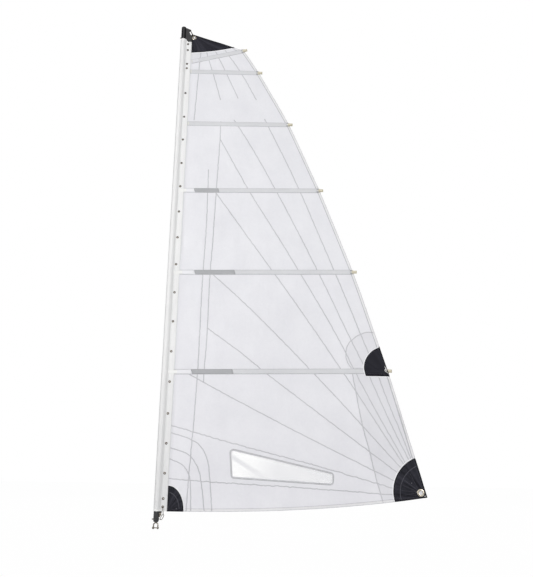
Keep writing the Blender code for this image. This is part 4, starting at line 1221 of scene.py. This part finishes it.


# The batten caps, darker at the end, with painted shade on the underside. An outline's points are given along
# the cap and out from its middle.
capSettings = {"start": -0.014, "thickness": 0.0071, "back": -0.0014, "round": 0.0018}
tipShadeSettings = {"thickness": 0.0078, "back": -0.0011}
capHalf = (
    (0.0, 0.014), (0.002, 0.0185), (0.006, 0.0205), (0.014, 0.0200), (0.022, 0.0150), (0.032, 0.0135),
    (0.042, 0.0150), (0.047, 0.0160), (0.0505, 0.0142), (0.052, 0.009),
)
tipShadeOutline = (
    (0.043, 0.0154), (0.0475, 0.0165), (0.0512, 0.0145), (0.0525, 0.0095), (0.0525, -0.0095), (0.0512, -0.0145),
    (0.0475, -0.0165), (0.042, -0.0156), (0.032, -0.0141), (0.022, -0.0156), (0.014, -0.0205), (0.006, -0.0210),
    (0.006, -0.0050), (0.043, -0.0030),
)


def addCapPart(name, number, outline, finish, settings, stands=()):
    batten = battens[number - 1]
    start = batten.length + capSettings["start"]
    spots = [flat(batten.point(start + run, side)) for run, side in outline]
    shape = plateShape(spots, settings["back"], 0.02)
    body = f"batten_unit_{number}"
    piece = addPiece(f"{name}{number}", shape, finish, settings["thickness"], 1.0, body, stands)
    roundEdges(piece, capSettings["round"], 3)


def makeCaps():
    edge = smoothLine(capHalf, 0.002)
    outline = [(run, side) for run, side in edge] + [(run, -side) for run, side in reversed(edge)]
    for number in range(1, 7):
        addCapPart("battenEnd", number, outline, creamMaterial, capSettings, [f"batten_cap_{number}"])
        # a darker piece over the cap's end, which is painted shade on its underside
        addCapPart("battenTipShade", number, tipShadeOutline, creamTipShadeMaterial, tipShadeSettings)


pocketPieces = []
for number, batten in enumerate(battens, start=1):
    pocketPieces += makePocket(number, batten)
pocketPieces.append(makeTie(battens[5]))
makeCaps()
print("battens made")


# Rings, eyelets, and the plate and a dark block beside the foot

toFront = Matrix.Rotation(math.radians(90), 4, "X")
ringSizes = {                 # hole, flange, metal, the flange's height in front and behind, steps round it
    "head": (0.0145, 0.0275, 0.0032, 0.0020, -0.0009, 64),
    "clew": (0.0185, 0.0355, 0.0032, 0.0020, -0.0009, 64),
    "eyelet": (0.0042, 0.0122, 0.0012, 0.0023, -0.0023, 32),
}


def ringShape(spot, kind):
    # A pressed ring: rolled lip in the hole, domed flange, turned-down rim
    hole, flange, metal, front, back, steps = ringSizes[kind]
    dome = []
    for step in range(9):
        share = step / 8
        rise = 0.35 + 0.65 * math.sin(math.pi * (0.18 + 0.82 * share)) ** 0.8
        dome.append((hole + (flange - hole) * share, metal * rise))
    outer = [(radius, front + rise) for radius, rise in dome]
    inner = [(radius, back - rise) for radius, rise in reversed(dome)]
    profile = outer + [(flange, front), (hole + metal, front), (hole + metal, back), (flange, back)] + inner
    return turned(profile + [profile[0]], Matrix.Translation((spot.x, 0, spot.y)) @ toFront, steps)


def makeRings():
    for kind, spot in (("head", headRing), ("clew", clewRing)):
        addPiece(kind + "RingMetal", ringShape(spot, kind), ringMaterial, stands=[kind + "_ring"])
    for number, spot in enumerate(eyeletPlaces, start=1):
        shape = ringShape(spot, "eyelet")
        addPiece(f"eyelet{number:02d}", shape, eyeletMaterial, stands=[f"eyelet_{number:02d}"])


def cornerDisc(face):
    place = Matrix.Translation(onCloth(cornerHole, face, 0.0032))
    return turned([(0.0, 0.0), (0.0048, 0.0)], place @ toFront, 16)


def cornerRim(face):
    return wireShape([onCloth(spot, face, 0.0034) for spot in circleLine(cornerHole, 0.0062)], 0.0014, True)


footPlate = [Vector(corner) for corner in (
    (0.0265, 0.141), (0.0470, 0.141), (0.0480, 0.118), (0.0330, 0.095), (0.0265, 0.093))]
# A dark block beside the foot, just above the plate
footDarkBlock = [Vector(corner) for corner in (
    (0.0262, 0.1375), (0.0500, 0.1375), (0.0500, 0.1510), (0.0262, 0.1510))]

makeRings()
addSides("cornerDisc", cornerDisc, whiteEdgeMaterial)
addSides("cornerRing", cornerRim, eyeletMaterial)
roundEdges(addPiece("footTang", plateShape(footPlate, 0.0035, 0.05), steelMaterial, 0.0025), 0.0006)
roundEdges(addPiece("footDarkBlock", plateShape(footDarkBlock, -0.0025, 0.05), borderMaterial, 0.0095), 0.0012)
print("rings made")


# Parts that keep their solids

nodeFinishes = {
    "luff_spar": sparMaterial,
    "spar_cap": plasticMaterial,
    "spar_foot": plasticMaterial,
    "head_link": linkMaterial,
    "tack_shackle": linkMaterial,
    "tack_link": linkMaterial,
    "foot_pin": steelMaterial,
    "cap_pin": steelMaterial,
    "foot_shackle": steelMaterial,
    "foot_shackle_pin": steelMaterial,
}
for number in range(1, 7):
    nodeFinishes[f"batten_{number}"] = battenMaterial
for nodeName, finish in nodeFinishes.items():
    frame["nodes"][nodeName].data.materials.clear()
    frame["nodes"][nodeName].data.materials.append(finish)


# Floor, light and camera

stageSettings = {
    "floor": -0.012,
    "floorColour": (0.86, 0.86, 0.86, 1.0),
    "glow": 0.985,            # how white the floor is to the camera
    "worldLight": 0.455,
    "frontWall": 1.15,        # the walls are seen in reflections only
    "sideWall": 0.10,
    "lampTarget": (1.2, 0, 2.6),
}
lampSettings = {              # place, size and power
    "keyLamp": ((-5.5, -11.0, 5.0), 3.0, 640),
    "fillLamp": ((8.0, -10.0, 3.5), 3.0, 275),
    "backLamp": ((1.0, 7.5, 6.0), 4.0, 300),
}
cameraSettings = {"place": (1.049, -6.573, 0.499), "lens": 40.55, "sensor": 36.0, "pitch": 16.0, "lean": 0.784}


def seenByEye(tree):
    rays = put(tree, "ShaderNodeLightPath").outputs
    return rays, mathNode(tree, "MAXIMUM", rays["Is Camera Ray"], rays["Is Transmission Ray"])


def mixValue(tree, factor, first, second):
    return put(tree, "ShaderNodeMix", {0: factor, 2: first, 3: second}).outputs[0]


def stand(name, data):
    made = bpy.data.objects.new(name, data)
    bpy.context.scene.collection.objects.link(made)
    return made


def makeFloor():
    shape = bmesh.new()
    bmesh.ops.create_grid(shape, x_segments=2, y_segments=2, size=30)
    bmesh.ops.translate(shape, verts=shape.verts[:], vec=(0, 0, stageSettings["floor"]))
    mesh = bpy.data.meshes.new("floor")
    shape.to_mesh(mesh)
    shape.free()
    material, tree, shader = newMaterial("floor_paper", None, 0.9)
    shader.inputs["Base Color"].default_value = stageSettings["floorColour"]
    share = mathNode(tree, "MULTIPLY", seenByEye(tree)[1], stageSettings["glow"])
    glow = put(tree, "ShaderNodeEmission", {"Color": (1, 1, 1, 1), "Strength": 1.0}).outputs[0]
    mixed = put(tree, "ShaderNodeMixShader", {0: share, 1: shader.outputs[0], 2: glow}).outputs[0]
    tree.links.new(mixed, tree.nodes["Material Output"].inputs["Surface"])
    mesh.materials.append(material)
    stand("floor", mesh)


def makeWorld():
    world = bpy.data.worlds.new("studio")
    bpy.context.scene.world = world
    world.use_nodes = True
    tree = world.node_tree
    rays, seen = seenByEye(tree)
    # Reflections find a bright wall in front of the sail and dark ones beside it.
    generated = put(tree, "ShaderNodeTexCoord").outputs["Generated"]
    towards = put(tree, "ShaderNodeSeparateXYZ", {0: generated}).outputs["Y"]
    mirrored = remap(tree, towards, stageSettings["frontWall"], stageSettings["sideWall"], -0.97, -0.5)
    ambient = mixValue(tree, rays["Is Glossy Ray"], stageSettings["worldLight"], mirrored)
    ground = tree.nodes["Background"]
    ground.inputs["Color"].default_value = (1, 1, 1, 1)
    tree.links.new(mixValue(tree, seen, ambient, 1.0), ground.inputs["Strength"])


def addLamp(name, place, size, power):
    light = bpy.data.lights.new(name, "AREA")
    light.shape = "DISK"
    light.size = size
    light.energy = power
    lamp = stand(name, light)
    lamp.location = place
    towards = Vector(stageSettings["lampTarget"]) - lamp.location
    lamp.rotation_euler = towards.to_track_quat("-Z", "Y").to_euler()


def makeCamera():
    lean, pitch = math.radians(cameraSettings["lean"]), math.radians(cameraSettings["pitch"])
    right = Vector((math.cos(lean), 0, math.sin(lean)))
    up = Vector((-math.sin(lean) * math.cos(pitch), -math.sin(pitch), math.cos(lean) * math.cos(pitch)))
    data = bpy.data.cameras.new("camera")
    data.lens = cameraSettings["lens"]
    data.sensor_width = cameraSettings["sensor"]
    camera = stand("camera", data)
    turn = Matrix((right, up, right.cross(up))).transposed().to_4x4()
    camera.matrix_world = Matrix.Translation(cameraSettings["place"]) @ turn
    bpy.context.scene.camera = camera


makeFloor()
makeWorld()
for lampName, lamp in lampSettings.items():
    addLamp(lampName, *lamp)
makeCamera()
bpy.context.scene.view_settings.view_transform = "Standard"
print("stage made")
